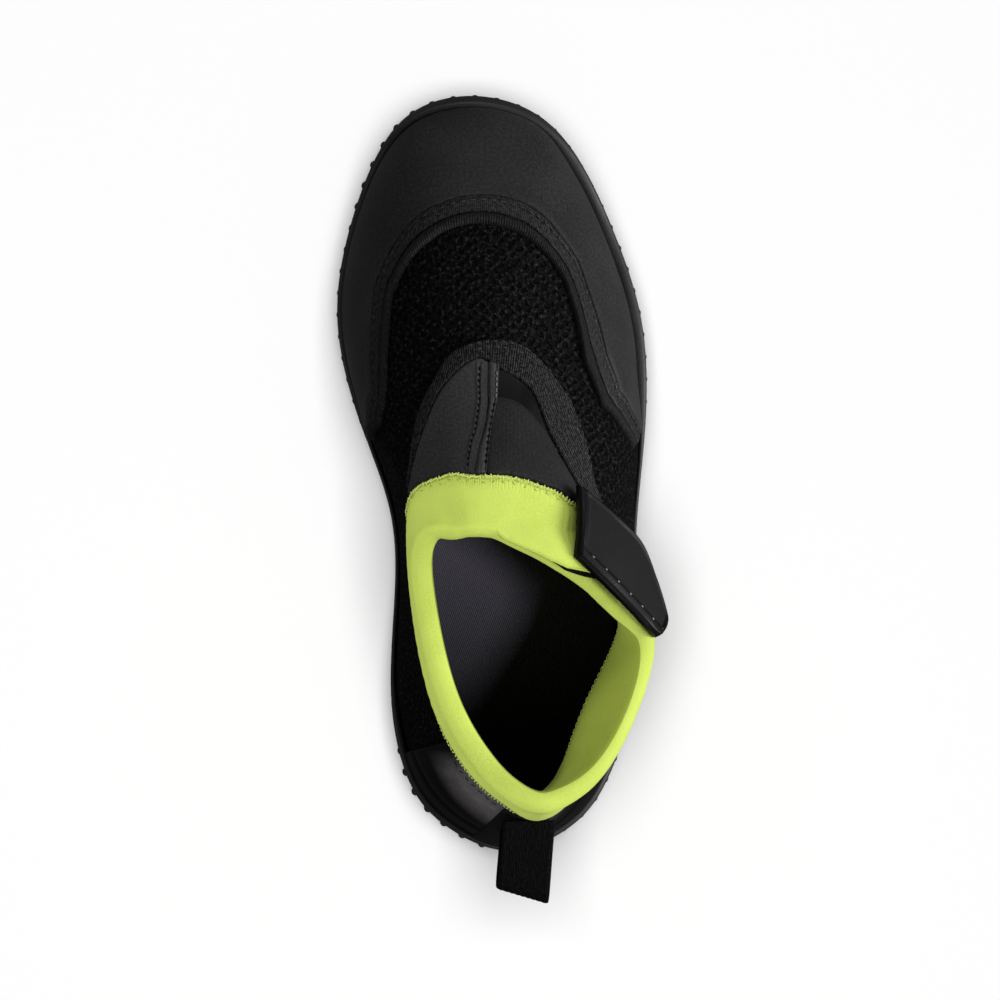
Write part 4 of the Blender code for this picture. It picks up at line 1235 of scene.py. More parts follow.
def make_strap_band():
    """The strap's lime edge: it parts from the collar in front, lies over it, and ends under the tab."""
    q = np.linspace(BAND_FIRST, BAND_LAST, BAND_COLUMNS)
    rear = edge_run(q) + read_table(BAND_REAR, q)
    width = np.minimum(BAND_WIDTH, rear - hem_run(q) + 0.002)
    rear_edge = 1 - 0.18 * (1 - np.sin(np.radians(np.linspace(0, 90, 8)[1:])))
    share = np.concatenate([np.linspace(0, 0.82, 14), rear_edge])[:, None]
    runs = rear - width + width * share
    t = shares_at(q, runs)
    lift = BAND_LIFT * smooth_step((q - BAND_PARTS_AT) / 3.2)
    under_tab = smooth_step((q - UNDER_TAB) / 0.8)
    near = runs - hem_run(q)
    rise = smooth_step(share / 0.85) * (1 - under_tab) + under_tab * rounded(share / 0.25, 1.0)
    roll = BAND_WALL / 2 * (1 - rounded((1 - share) * width, BAND_WALL / 2))
    top = collar_height(near) - GAP + (lift + GAP) * rise
    low = top - BAND_WALL + roll
    cloth = CLOTH(q, t)
    band = Mesh()
    # Past the collar's rear bend the dark underside shows below the lime edge: partly the strap's own
    # underside, partly painted shade under the band's edge
    shows = 0.0013 * hump(q, 15.0, BAND_LAST, 1.0, 0.4)
    over = band.grid(past_edge(q, runs, top - roll), cloth)
    under = band.grid(past_edge(q, runs + shows * share**3, low), cloth, slot=1)
    band.close(over, under, cloth, rows=(0,))
    # From here on the rear edge takes the dark underside's colour too, as painted shade under the edge
    dark = int(np.searchsorted(q, DARK_EDGE_SHADE_FROM))
    for part, slot in ((slice(0, dark + 1), 0), (slice(dark, None), 1)):
        rear_cloth = cloth[-1, part]
        band.join(under[-1, part], over[-1, part], rear_cloth, rear_cloth, slot)
    band.make("strap_band", [LIME, STRAP_UNDERSIDE_SHADE])


# How much lower than its solid the loop is sewn on
LOOP_LOWER = 0.0016
# The tab's mesh, the crown of its field, its raised rim, its rounded edge and its border's width
TAB_ROWS = 64
TAB_CROWN = TAB_WALL * 0.3
TAB_RIM_HEIGHT = 0.00055
TAB_EDGE = 0.0009
TAB_BORDER = 0.0021


def plate_rows(count):
    """The tab's front and rear edges, with its upward direction."""
    rows = np.array(TAB)
    scale = np.array([BALL_WIDTH, LENGTH, BALL_WIDTH])
    origin = np.array([0, SEAT_FROM_HEEL_END, 0])
    front, rear = rows[:, 1:4] * scale - origin, rows[:, 4:7] * scale - origin
    collar = RING(rows[:, 0])[:, 4]
    front[:, 2] += collar
    rear[:, 2] += collar
    up = np.cross(front[2] - rear[2], rear[0] - rear[3])
    up /= np.linalg.norm(up)
    up *= np.sign(up[2])
    where = np.linspace(0, len(rows) - 1, count)

    def smooth(points):
        before, after = 2 * points[:1] - points[1:2], 2 * points[-1:] - points[-2:-1]
        padded = np.concatenate([before, points, after])
        i = np.minimum(where.astype(int), len(rows) - 2)
        f = (where - i)[:, None]
        a, b, c, d = (padded[i + k] for k in range(4))
        curve = (2 * a - 5 * b + 4 * c - d) * f**2 + (3 * b - a - 3 * c + d) * f**3
        return 0.5 * (2 * b + (c - a) * f + curve)

    return smooth(front), smooth(rear), up


def make_tab():
    """The moulded tab: a crowned field inside a raised rim, and a row of stitches at its rear."""
    front, rear, up = plate_rows(TAB_ROWS)
    across = np.linspace(0, 1, 41)
    flat = rear[:, None] + (front - rear)[:, None] * across[:, None]
    width = np.linalg.norm(front - rear, axis=1)[:, None]
    passed = lengths_along((front + rear) / 2)[:, None]
    from_end = passed[-1] - passed
    from_rear, from_front = across * width, (1 - across) * width
    near = np.minimum(np.minimum(from_rear, from_front), np.minimum(passed, from_end))
    # The rim is widest in front and narrowest at the free end
    border = np.minimum(from_rear * 0.72, from_front * 1.7)
    border = np.minimum(border, np.minimum(passed * 0.9, from_end * 1.3))
    crown = TAB_CROWN * 4 * across * (1 - across)
    rim = TAB_RIM_HEIGHT * (1 - smooth_step((border - 0.0017) / 0.0007))
    fall = TAB_EDGE * (1 - rounded(near, TAB_EDGE))
    cloth = np.stack([passed + 0 * from_rear, from_rear], axis=-1) * 1000
    tab = Mesh()
    over = tab.add(flat + up * (crown + rim - fall)[..., None])
    field = border > TAB_BORDER
    field = field[:-1, :-1] & field[1:, 1:] & field[:-1, 1:] & field[1:, :-1]
    for i, row in enumerate(field):
        for j, inside in enumerate(row):
            pair = slice(j, j + 2)
            slot = 0 if inside else 1
            tab.join(over[i, pair], over[i + 1, pair], cloth[i, pair], cloth[i + 1, pair], slot)
    under = tab.grid(flat + up * (crown - TAB_WALL + 0.5 * fall)[..., None], cloth, slot=1)
    tab.close(over, under, cloth, slot=1)
    tab.make("tab_plate", [TAB_FIELD, TAB_RIM], ["strap_tab"])
    line = rear + (front - rear) * (0.0024 / width) + up * 0.0009
    where = walk(line[3:-2], 0.0042) + 3
    centres = read_line(line, where)
    ahead = read_line(line, where + 0.5) - centres
    dots = Mesh()
    capsules(dots, centres, ahead, np.broadcast_to(up, centres.shape), 0.0007, 0.0002)
    dots.make("tab_stitches", [PALE_THREAD])


def make_loop():
    """The webbing pull loop, a folded ribbon with a sewn line near its end."""
    reach, width = LOOP_REACH * 1.05, LOOP_WIDTH * 0.93
    zero = np.zeros(1)
    root_run = rib_length(zero) - RING(zero)[:, 9] - 4 * GAP - LOOP_LOWER

    def rooted(run):
        return smooth_skin(zero, shares_at(zero, run[None, :])[0], OVERLAY_FACE + 3 * GAP)[0]

    start, end = rooted(root_run), rooted(root_run - LOOP_DROP)
    far, bend = start[1] - reach, LOOP_DROP * 0.36
    middle = (start[2] + end[2]) / 2
    path = [start[1:], (start[1] - 0.3 * reach, start[2] - 0.05 * LOOP_DROP)]
    for angle in np.radians(np.linspace(90, 270, 9)):
        path.append((far + bend + bend * np.cos(angle), middle + bend * np.sin(angle)))
    path += [(end[1] - 0.2 * reach, end[2] + 0.05 * LOOP_DROP), end[1:]]
    path = np.array(path)
    for _ in range(3):
        cut = np.empty((2 * len(path) - 2, 2))
        cut[0::2] = 0.75 * path[:-1] + 0.25 * path[1:]
        cut[1::2] = 0.25 * path[:-1] + 0.75 * path[1:]
        path = np.concatenate([path[:1], cut, path[-1:]])
    along = np.gradient(path, axis=0)
    along /= np.linalg.norm(along, axis=1, keepdims=True)
    normal = np.stack([-along[:, 1], along[:, 0]], axis=1)
    passed = lengths_along(path)

    def across_ribbon(i, half, wall):
        """Points of the ribbon at the distances half from its middle line, at step i of its path."""
        y, z = path[i][0] + normal[i][0] * wall, path[i][1] + normal[i][1] * wall
        reached = np.clip((start[1] - y) / reach, 0, 1)
        x = start[0] - 0.0005 + half - LOOP_LEAN * reach * reached
        return np.stack([x, y - LOOP_SKEW * half * reached, z + 0 * half], axis=-1)

    half = np.sin(np.radians(np.linspace(-90, 90, 31))) * width / 2
    ribs = 1 + 0.10 * np.cos(half * 2 * math.pi / 0.0014)
    wall = LOOP_WALL / 2 * np.clip(rounded(width / 2 - np.abs(half), 0.0007), 0.15, 1) * ribs
    cloth = np.stack(np.broadcast_arrays(half, passed[:, None]), axis=-1) * 1000
    loop = Mesh()
    sheets = []
    for side in (1, -1):
        points = np.array([across_ribbon(i, half, wall * side) for i in range(len(path))])
        sheets.append(loop.grid(points, cloth))
    loop.close(sheets[1], sheets[0], cloth)
    loop.make("heel_loop", [WEB_LOOP], ["pull_loop"])
    tip = int(np.argmin(path[:, 0]))
    sewn_at = int(np.argmin(np.abs(passed - (passed[tip] - 0.0034))))
    out = (0, *normal[sewn_at])
    spots = np.arange(-width / 2 + 0.001, width / 2 - 0.0005, 0.0011)
    centres = across_ribbon(sewn_at, spots, LOOP_WALL / 2)
    threads = Mesh()
    capsules(threads, centres, np.broadcast_to([1, -LOOP_SKEW, 0], centres.shape),
             np.broadcast_to(out, centres.shape), 0.0009, 0.0002)
    threads.make("loop_stitches", [DARK_THREAD])


# How far in from the knobs' root the sole's flat underside ends, and its rounded corner lies
WEB_INSET = 0.0022
CORNER_INSET = 0.0012
# The sole's moulded side from below to the rim: how far in from the knobs' root, and how high
SideStep = namedtuple("SideStep", "inset height")
SOLE_SIDE = (
    SideStep(0.0004, 0.0022), SideStep(0.0001, 0.0027), SideStep(0.0, 0.0034),
    SideStep(0.0, 0.0050), SideStep(0.0001, 0.0054), SideStep(0.0007, 0.0057),
    SideStep(0.0008, 0.0061), SideStep(0.0002, 0.0064), SideStep(-0.0001, 0.0067),
    SideStep(-0.0001, 0.0074),
)
# Places up the rim, as shares of its height, closer together at the groove along it
RIM_SHARES = (0.10, 0.25, 0.40, 0.47, 0.50, 0.53, 0.56, 0.62, 0.75, 0.88)
RIM_GROOVE = 0.0005
KNOB_RADIUS = 0.00115
# How deep the knobs are sunk in the sole's side: everywhere, and how much more at each part
Sunk = namedtuple("Sunk", "everywhere waist forefoot toe")
INNER_KNOBS = Sunk(0.0001, 0.0011, 0.0006, -0.0004)
OUTER_KNOBS = Sunk(0.0001, 0.0003, -0.0001, 0.0003)
# A lug's side from its root to its face: size as a share of its cell, and height over the face.
# The rows without a lift lie just inside the sole's underside.
LugStep = namedtuple("LugStep", "size lift")
LUG_SIDE = (
    LugStep(0.0, None), LugStep(0.98, None), LugStep(0.96, 0.0008), LugStep(0.93, 0.0003),
    LugStep(0.87, 0.00005), LugStep(0.80, 0.0), LugStep(0.4, 0.0), LugStep(0.0, 0.0),
)


def across_ring(mesh, ring, columns, height=None):
    """Fills a closed ring of points with rows from its inner to its outer side."""
    half = len(ring) // 2
    left = ring[: half + 1]
    right = np.concatenate([ring[:1], ring[: half - 1 : -1]])
    share = np.linspace(0, 1, columns + 1)[:, None]
    points = left[:, None] + (right - left)[:, None] * share
    if height is not None:
        points[1:-1, 1:-1, 2] = height(points[1:-1, 1:-1, 1])
    mesh.grid(points, points[..., :2] * 1000)


def make_footbed():
    """The insole: its underside, a rounded side, and the cloth over its top."""
    q = even_rows(FOOTBED_COLUMNS_PER_SIDE)
    inset = -(UPPER_WALL + GAP)
    under = smooth_skin(q, 0 * q, inset)
    under[:, 2] = floor(under[:, 1]) + GAP
    lip = shares_at(q, np.full((1, len(q)), INSOLE_THICKNESS))[0]
    top = smooth_skin(q, lip, inset - 2 * GAP)
    top[:, 2] = floor(top[:, 1]) + GAP + INSOLE_THICKNESS
    side = under + (top - under) * 0.15
    side[:, 2] = under[:, 2] + INSOLE_THICKNESS * 0.6
    inward = top.copy()
    inward[:, :2] -= outward(q) * 0.0012
    inward[:, 2] += 0.0002
    bed = Mesh()
    rings = [under, side, top, inward]
    ids = [bed.add(ring) for ring in rings]
    cloth = [np.concatenate([ring, ring[:1]])[:, :2] * 1000 for ring in rings]
    for i in range(3):
        bed.join(ids[i], ids[i + 1], cloth[i], cloth[i + 1], closed=True)
    across_ring(bed, inward, 24)
    across_ring(bed, under, 4)
    bed.make("footbed", [FOOTBED], ["insole"])


def make_sole():
    """The outsole's cup: its moulded side, the rim over the upper, its underside and its floor."""
    q = even_rows(SOLE_COLUMNS_PER_SIDE)
    rim = rim_height(q)

    def at(run):
        return shares_at(q, np.broadcast_to(run, q.shape)[None, :])[0]

    web_edge = edge(q, KNOB_REACH + WEB_INSET, 0)
    web_edge[:, 2] = web(web_edge[:, 1])
    corner = edge(q, KNOB_REACH + CORNER_INSET, 0)
    corner[:, 2] = web(corner[:, 1]) + 0.0001
    rings = [web_edge, corner]
    rings += [edge(q, KNOB_REACH + step.inset, step.height) for step in SOLE_SIDE]
    for share in RIM_SHARES:
        groove = RIM_GROOVE * bump(share, 0.515, 0.03)
        rings.append(smooth_skin(q, at(rim * share), GAP + RIM_WALL - groove))
    for angle in np.radians([15, 40, 65, 90, 115, 140, 165]):
        out = GAP - ledge(q) + (RIM_WALL + ledge(q)) / 2 * (1 + math.cos(angle))
        rings.append(smooth_skin(q, at(rim - 0.0004 + 0.0011 * math.sin(angle)), out))
    rings += [smooth_skin(q, at(rim * share), GAP - ledge(q) * share / 0.9) for share in (0.9, 0.4)]
    inner = smooth_skin(q, 0 * q, GAP)
    inner[:, 2] = floor(inner[:, 1])
    rings.append(inner)
    points = np.array(rings)
    around = lengths_along(np.concatenate([points[6], points[6, :1]]))
    cloth = np.stack(np.meshgrid(around, lengths_along(points[:, 0])), axis=-1) * 1000
    sole = Mesh()
    sole.grid(points, cloth, closed=True)
    across_ring(sole, web_edge, 16, web)
    across_ring(sole, inner, 4, floor)
    sole.make("sole_cup", [RUBBER], ["outsole"], sharp=0.9)


def make_knobs():
    """Rounded knobs along the sole's edge, sunk deeper where the photo's edge is smoother."""
    q = COLUMNS + (np.append(COLUMNS[1:], ROWS) - COLUMNS) * KNOB_SHARE / 2
    centres = edge(q, KNOB_REACH, (KNOB_FOOT + KNOB_TOP) / 2)
    out = np.concatenate([outward(q), np.zeros((len(q), 1))], axis=1)
    share = share_of_length(centres[:, 1])
    waist = hump(share, 0.11, 0.60, 0.06, 0.15)
    forefoot = smooth_step((share - 0.45) / 0.15)
    toe = smooth_step((share - 0.80) / 0.10)
    parts = np.stack([np.ones(len(q)), waist, forefoot, toe])
    inner, outer = (np.array(row) @ parts for row in (INNER_KNOBS, OUTER_KNOBS))
    centres = centres - out * np.where(centres[:, 0] < 0, inner, outer)[:, None]
    knobs = Mesh()
    capsules(knobs, centres, np.broadcast_to([0, 0, 1], centres.shape), out,
             KNOB_TOP - KNOB_FOOT, KNOB_RADIUS, flat=0.96, sides=12)
    knobs.make("sole_knobs", [RUBBER])


def make_lugs():
    """Square lugs with rounded corners, set in the underside's cells."""
    ring = edge(knob_columns(), KNOB_REACH + GROOVE_DEPTH, 0)
    count = len(ring)
    turn = np.linspace(0, 2 * math.pi, 16, endpoint=False)
    circle = np.stack([np.cos(turn), np.sin(turn)])
    square = np.sign(circle) * np.abs(circle) ** 0.35
    lugs = Mesh()
    for r in range(1, KNOBS_PER_SIDE - 1):
        for c in range(1, LUG_COLUMNS - 1):
            if not lug_cell(r, c, KNOBS_PER_SIDE):
                continue
            corners = []
            for i in (r, r + 1):
                a, b = ring[2 * i], ring[(count - 2 * i) % count]
                corners.append([a + (b - a) * j / LUG_COLUMNS for j in (c, c + 1)])
            (p00, p01), (p10, p11) = corners
            rows = []
            for step in LUG_SIDE:
                u, v = (square * step.size / 2 + 0.5)[..., None]
                points = (1 - u) * ((1 - v) * p00 + v * p10) + u * ((1 - v) * p01 + v * p11)
                if step.lift is None:
                    points[:, 2] = web(points[:, 1]) + 0.0005
                else:
                    points[:, 2] = ground(points[:, 1]) + step.lift
                rows.append(points)
            ids = lugs.add(np.array(rows))
            lugs.join(ids[:-1], ids[1:], closed=True)
    lugs.make("sole_lugs", [RUBBER])


def line(seam, first, last, count=160, shift=0.0):
    """Ribs and shares along a seam, shift metres up the rib from it."""
    q = np.linspace(first, last, count)
    run = seam(q) + shift
    return q, shares_at(q, run[None, :])[0]


def sewn(name, material, slot_name, lines, pitch, length, radius, **more):
    """One piece of stitches along several lines, each with its height over the upper."""
    threads = Mesh()
    for (q, t), height in lines:
        seam_threads(threads, q, t, height, pitch, length, radius, **more)
    threads.make(name, [material])


# The felled seam down the middle of the instep, as points of rib and share of the rib: the row of
# stitches on its inner side, the crease, and the row on its outer side
Mark = namedtuple("Mark", "rib share")
LEFT_ROW = (
    Mark(11.07, 0.718), Mark(11.04, 0.748), Mark(11.05, 0.777), Mark(10.96, 0.800),
    Mark(10.83, 0.825), Mark(10.52, 0.850), Mark(10.20, 0.880), Mark(10.05, 0.900),
)
CREASE = (
    Mark(11.36, 0.712), Mark(11.37, 0.758), Mark(11.42, 0.782), Mark(11.36, 0.810),
    Mark(11.26, 0.828), Mark(10.98, 0.855), Mark(10.76, 0.880), Mark(10.59, 0.900),
)
RIGHT_ROW = (
    Mark(11.66, 0.712), Mark(11.70, 0.768), Mark(11.65, 0.785), Mark(11.59, 0.802),
    Mark(11.52, 0.823), Mark(11.48, 0.845), Mark(11.44, 0.865), Mark(11.38, 0.900),
)
CENTRE_LOW = 0.710
CENTRE_HIGH = 0.902
# Where the three lines lie across the seam's strip
LEFT_AT = 0.2
CREASE_AT = 0.6
RIGHT_AT = 0.85
# Height over the upper of the cloth that the collar's hem is sewn to
Height = namedtuple("Height", "rib height")
SEWN_TO = (
    Height(0, 0.0014), Height(2.6, 0.0014), Height(2.9, 0.0007), Height(5.2, 0.0007),
    Height(5.6, 0.0014), Height(11.2, 0.0014), Height(11.4, 0.0017), Height(15.4, 0.0017),
    Height(15.8, 0.0007), Height(19.3, 0.0007), Height(19.6, 0.0014), Height(22, 0.0014),
)


def seam_rib(marks, share):
    """Rib of a line of the centre seam at a share of the rib's height."""
    return np.interp(share, [mark.share for mark in marks], [mark.rib for mark in marks])


def facing_run(q):
    """Distance up each rib to the lower edge of the lime facing inside."""
    return edge_run(q) - read_table(FACING, q)


def make_stitches():
    """Every visible row of stitches."""
    tape_front = lambda q: seam_run(ARCH_TAPE, q)
    overlock_run = lambda q: hem_run(q) + np.interp(q, [5, 7], [0.0021, 0.0015])
    counter_run = lambda q: hem_run(q) - 0.0016
    sewn("mudguard_stitches", GLINT_THREAD, "seam_tape",
         [(line(guard_top, 6.1, 15.9, shift=0.0012), STRIP_WALL),
          (line(guard_top, 6.1, 15.9, shift=-0.0012), OVERLAY_FACE)],
         pitch=0.0026, length=0.0014, radius=0.00020)
    sewn("instep_stitches", GLINT_THREAD, "seam_tape",
         [(line(tape_front, 10.6, 15.2, shift=0.0008), INSTEP_TAPE_WALL),
          (line(tape_front, 10.9, 15.2, shift=0.0024), INSTEP_TAPE_WALL)],
         pitch=0.0022, length=0.0012, radius=0.00018)
    left, right = np.linspace(0.720, 0.889, 90), np.linspace(0.776, 0.884, 70)
    sewn("centre_stitches", SEAM_SHADOW, "neoprene",
         [((seam_rib(LEFT_ROW, left), left), OVERLAY_FACE + 0.0001),
          ((seam_rib(RIGHT_ROW, right), right), STRAP_FACE + 0.0001)],
         pitch=0.0016, length=0.0009, radius=0.00036)
    # Light grey stitches along the seam's ridge: a painted highlight on it
    painted_glint = np.linspace(0.724, 0.770, 30)
    sewn("centre_glints", RIDGE_HIGHLIGHT, "neoprene",
         [((seam_rib(RIGHT_ROW, painted_glint), painted_glint), STRAP_FACE + 0.00025)],
         pitch=0.0013, length=0.0011, radius=0.00020)
    q, t = line(overlock_run, 0.4, 21.6, 900)
    sewn("collar_overlock", LIME_THREAD, "lime_binding",
         [((q, t), read_table(SEWN_TO, q) + heel_swell(q) + 0.0001)],
         pitch=0.0011, length=0.0011, radius=0.00021, slant=0.95, zigzag=True)
    sewn("facing_overlock", LIME_EDGE_THREAD, "lime_binding",
         [(line(facing_run, 16.9, 21.9, 300, 0.0010), -UPPER_WALL - 0.0009)],
         pitch=0.0009, length=0.0013, radius=0.00020, slant=1.0, zigzag=True)
    # Darker lime stitches: painted shade where they sink into the binding
    sewn("collar_stitches", LIME_SHADED_THREAD, "lime_binding",
         [(line(hem_run, 5.4, 14.9, 300, 0.0030), collar_height(0.0030) - 0.0001)],
         pitch=0.0036, length=0.0010, radius=0.00028)
    sewn("counter_stitches", DARK_THREAD, "smooth_synthetic",
         [(line(counter_run, -2.3, -0.7, 80), OVERLAY_FACE),
          (line(counter_run, 0.8, 2.3, 80), OVERLAY_FACE)],
         pitch=0.0026, length=0.0015, radius=0.0002)


def make_centre_seam():
    """The felled seam down the middle of the instep: two sunk rows either side of a crease."""
    down = np.linspace(0, 1, CENTRE_SEAM_ROWS)[:, None]
    across = np.linspace(0, 1, CENTRE_SEAM_COLUMNS)
    nominal = CENTRE_LOW + (CENTRE_HIGH - CENTRE_LOW) * down[:, 0]
    lines = (seam_rib(marks, nominal) for marks in (LEFT_ROW, CREASE, RIGHT_ROW))
    places = (0, LEFT_AT, CREASE_AT, RIGHT_AT, 1)
    rib = np.stack([
        np.interp(across, places, [a - 0.15, a, b, c, c + 0.07]) for a, b, c in zip(*lines)
    ])
    flat_rib = rib.ravel()
    ends = shares_at(flat_rib, (hem_run(flat_rib) + 0.0007)[None, :])[0].reshape(rib.shape)
    share = CENTRE_LOW + (ends - CENTRE_LOW) * down
    rows = bump(across, LEFT_AT, 0.04) + bump(across, RIGHT_AT, 0.04)
    step = (STRAP_WALL - OVERLAY_WALL) * smooth_step((across - 0.45) / 0.3)
    brim = rounded(np.minimum(across, 1 - across) + 0.004, 0.07)
    swell = 0.0006 * brim - 0.0004 - 0.0007 * bump(across, CREASE_AT, 0.035) - 0.0003 * rows
    front = 0.0009 * (1 - rounded(down * 48 + 0.02, 1.5))
    rear = 0.0010 * (1 - rounded((1 - down) * 48 + 0.02, 1.5))
    height = OVERLAY_FACE + step + swell - front - rear
    seam = Mesh()
    cloth = CLOTH(rib, share)
    over = seam.grid(skin(rib, share, height), cloth)
    under = seam.grid(skin(rib, share, height - 0.0007), cloth)
    seam.close(over, under, cloth)
    seam.make("centre_seam", [PANEL_JERSEY])


def make_hook_pad():
    """The hook pad keeps its own solid and takes a finish."""
    for place in frame["nodes"]["hook_pad"].material_slots:
        place.material = HOOK_LOOK


# The lamps: what each one lights, its place, its size and its power in watts. They all aim at the
# middle of the shoe.
Lamp = namedtuple("Lamp", "name lights place size power")
LAMPS = (
    Lamp("key", "shoe", (0.60, -0.22, 0.95), (0.22, 0.22), 5.2),
    Lamp("side", "shoe", (1.15, 0.10, 0.42), (0.5, 0.7), 18),
    Lamp("front", "shoe", (0.15, 1.20, 0.70), (0.6, 0.4), 8),
    Lamp("rear", "shoe", (-0.15, -1.15, 0.60), (0.5, 0.4), 6),
    Lamp("left", "shoe", (-1.00, -0.15, 0.62), (0.4, 0.5), 2.0),
    Lamp("lime_fill", "lime", (-1.05, -0.02, 0.46), (0.4, 0.5), 8),
    Lamp("cloth_fill", "cloth", (1.10, -0.28, 0.36), (0.4, 0.5), 17),
    Lamp("low_left", "cloth", (-1.25, 0.02, 0.07), (0.7, 0.1), 1.3),
    Lamp("low_front", "cloth", (-0.55, 1.15, 0.07), (0.7, 0.1), 1.6),
    Lamp("over", "stage", (0.0, 0.06, 2.4), (1.5, 1.5), 66),
)
LAMP_AIM = (0.0, 0.06, 0.02)
LIME_PIECES = ("collar", "facing", "strap_band")
SKY_STRENGTH = 0.065
FLOOR_REACH = 3.0
CAMERA_PLACE = (-0.04818, 0.0647, 1.100)
CAMERA_AIM = (-0.0016, 0.0655, 0.0)
FOCAL_LENGTH = 145.5


def make_lamp(lamp, lights):
    """A rectangular lamp that lights only the given collection."""
    data = bpy.data.lights.new(lamp.name, "AREA")
    data.shape = "RECTANGLE"
    data.size, data.size_y = lamp.size
    data.energy = lamp.power
    thing = bpy.data.objects.new(lamp.name, data)
    bpy.context.scene.collection.objects.link(thing)
    thing.location = lamp.place
    towards = Vector(LAMP_AIM) - Vector(lamp.place)
    thing.rotation_euler = towards.to_track_quat("-Z", "Y").to_euler()
    thing.light_linking.receiver_collection = lights


def make_stage():
    """The floor, the sky and the lamps, each of which lights the shoe, a part of it or the floor."""
    mesh = bpy.data.meshes.new("floor")
    far = FLOOR_REACH
    corners = [(-far, -far, 0), (far, -far, 0), (far, far, 0), (-far, far, 0)]
    mesh.from_pydata(corners, [], [(0, 1, 2, 3)])
    mesh.materials.append(pale_floor("pale floor"))
    ground_plane = bpy.data.objects.new("floor", mesh)
    bpy.context.scene.collection.objects.link(ground_plane)
    ground_plane.visible_diffuse = False
    ground_plane.visible_glossy = False
    world = bpy.data.worlds.new("studio")
    world.use_nodes = True
    sky = world.node_tree.nodes["Background"].inputs
    sky["Color"].default_value = (1, 1, 1, 1)
    sky["Strength"].default_value = SKY_STRENGTH
    bpy.context.scene.world = world
    lights = {name: bpy.data.collections.new(name) for name in ("shoe", "stage", "lime", "cloth")}
    for thing in bpy.context.scene.objects:
        if thing == ground_plane:
            lights["stage"].objects.link(thing)
        elif thing.type == "MESH":
            lights["shoe"].objects.link(thing)
            part = "lime" if thing.name.startswith(LIME_PIECES) else "cloth"
            lights[part].objects.link(thing)
    for lamp in LAMPS:
        make_lamp(lamp, lights[lamp.lights])
    bpy.context.scene.view_settings.view_transform = "Standard"


def make_camera():
    """The photo's view of this shoe, with the toe kept towards the top of the picture."""
    data = bpy.data.cameras.new("camera")
    data.sensor_width = 36
    data.lens = FOCAL_LENGTH
    data.clip_start, data.clip_end = 0.05, 20
    camera = bpy.data.objects.new("camera", data)
    bpy.context.scene.collection.objects.link(camera)
    place = Vector(CAMERA_PLACE)
    back = (place - Vector(CAMERA_AIM)).normalized()
    side = Vector((0, 1, 0)).cross(back).normalized()
    turned = Matrix((side, back.cross(side), back)).transposed().to_4x4()
    camera.matrix_world = Matrix.Translation(place) @ turned
    bpy.context.scene.camera = camera


CLOTH = unrolled_cloth()
MESH_CLOTH = air_mesh("spacer mesh")
LINING = smooth_cloth("dark lining", (0.003, 0.003, 0.0035), 0.9, grain=0.4, scale=1.4, level=0.03)
GUARD_JERSEY = jersey("mudguard jersey", (0.0058, 0.0057, 0.0058), level=0.14)
PANEL_JERSEY = jersey("instep jersey", (0.0180, 0.0175, 0.0179), grain=0.5)
STRAP_JERSEY = jersey("strap jersey", (0.0040, 0.0038, 0.0039), level=0.09)
# The strap's underside, darker than its face: partly its own colour, partly painted shade under the
# band's edge
STRAP_UNDERSIDE_SHADE = jersey("strap underside", (0.0020, 0.0020, 0.0020), level=0.03)
STRIP_TAPE = ribbed_tape(
    "mudguard tape", (0.0022, 0.0022, 0.0024), pitch=0.8, gloss=0.4, painted_glint=7.0, spread=0.06
)
ROLL_TAPE = ribbed_tape(
    "mudguard roll", (0.0028, 0.0028, 0.0030), pitch=1.1, gloss=0.6, painted_glint=0.6
)
ARCH_LOOK = ribbed_tape(
    "instep tape", (0.0034, 0.0034, 0.0036), pitch=1.0, gloss=0.5, painted_glint=4.0, level=0.05, spread=0.06
)
GLOSS = smooth_cloth("gloss patch", (0.003, 0.003, 0.0032), 0.32, grain=0.2, coat=0.03, level=0.1)
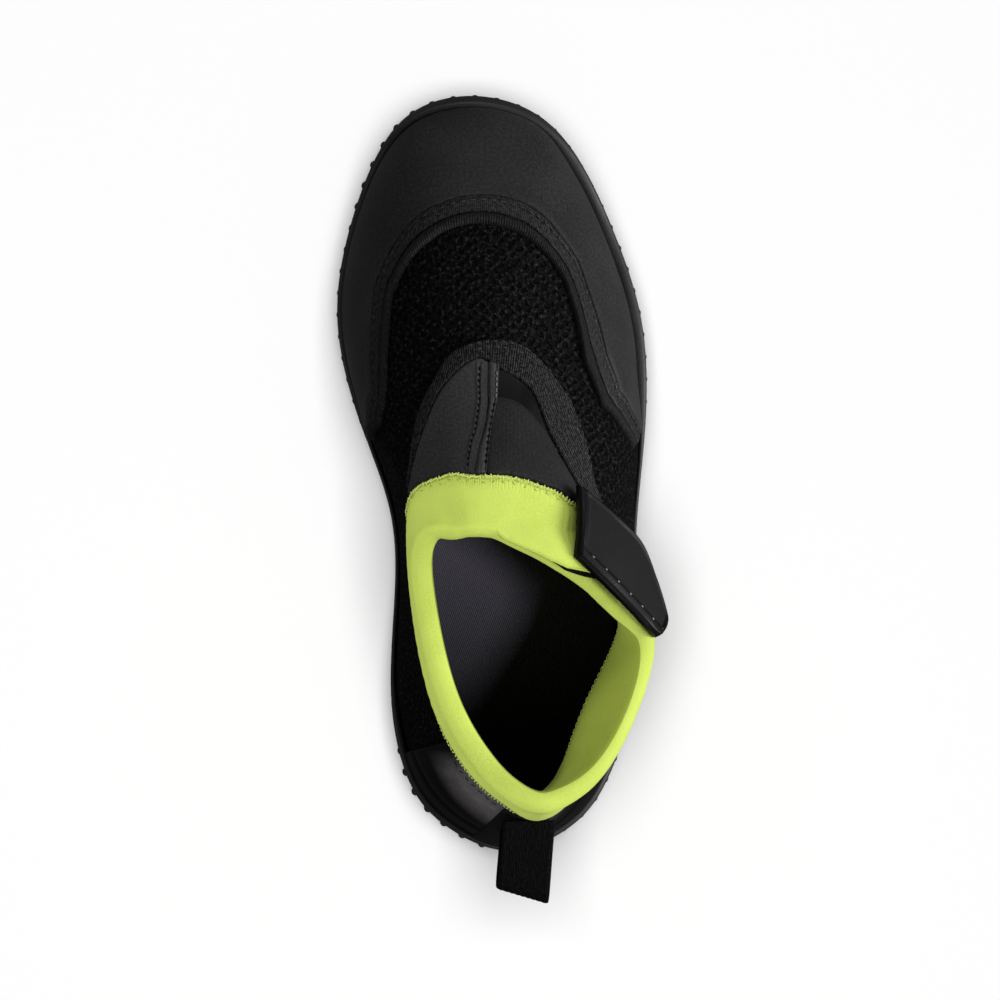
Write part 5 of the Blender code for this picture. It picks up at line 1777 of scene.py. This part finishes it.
# Its colour carries a painted highlight along the counter's upper part
COUNTER_LOOK = counter_cloth("counter synthetic")
WEB_RIBS = ribbed_tape("heel tape webbing", (0.0035, 0.0034, 0.0035), pitch=0.9, gloss=0.5)
WEB_LOOP = ribbed_tape("loop webbing", (0.0019, 0.0018, 0.0019), pitch=0.7, gloss=0.8, level=0.04)
TAB_FIELD = smooth_cloth("tab field", (0.0055, 0.0054, 0.0055), 0.66, grain=0.18, level=0.05)
TAB_RIM = smooth_cloth("tab rim", (0.0022, 0.0022, 0.0024), 0.45, grain=0.2, level=0.07)
RUBBER = smooth_cloth("sole rubber", (0.0125, 0.0125, 0.0128), 0.5, grain=0.3, scale=1.2)
# Light grey thread: a painted highlight on the centre seam's ridge
RIDGE_HIGHLIGHT = thread("seam ridge", (0.075, 0.075, 0.075), 0.4)
LIME = lime_knit("lime knit", (0.44, 0.54, 0.096))
# A darker copy of the lime knit: painted shade for the inside of the binding
LIME_SHADED_INSIDE = lime_knit("lime knit inside", (0.22, 0.27, 0.036))
LIME_EDGE_THREAD = thread("lime edge thread", (0.36, 0.42, 0.07), 0.8)
LIME_THREAD = thread("lime thread", (0.50, 0.58, 0.15), 0.8)
# Darker than the knit: painted shade where the stitches sink into the binding
LIME_SHADED_THREAD = thread("lime seam thread", (0.29, 0.36, 0.055), 0.8)
SEAM_SHADOW = thread("seam shadow thread", (0.0018, 0.0018, 0.0019), 0.6, level=0.04)
DARK_THREAD = thread("dark thread", (0.008, 0.008, 0.008), 0.45)
GLINT_THREAD = thread("bright black thread", (0.015, 0.015, 0.016), 0.3)
PALE_THREAD = thread("pale thread", (0.13, 0.13, 0.13), 0.5)
FOOTBED = footbed_cloth("footbed cloth")
HOOK_LOOK = jersey("hook pad", (0.0030, 0.0030, 0.0031), pitch=0.9, level=0.04)

make_camera()
make_shell()
make_guard()
make_instep()
make_counter()
make_collar()
make_strap_band()
make_tab()
make_loop()
make_footbed()
make_sole()
make_knobs()
make_lugs()
make_centre_seam()
make_stitches()
make_hook_pad()
make_stage()
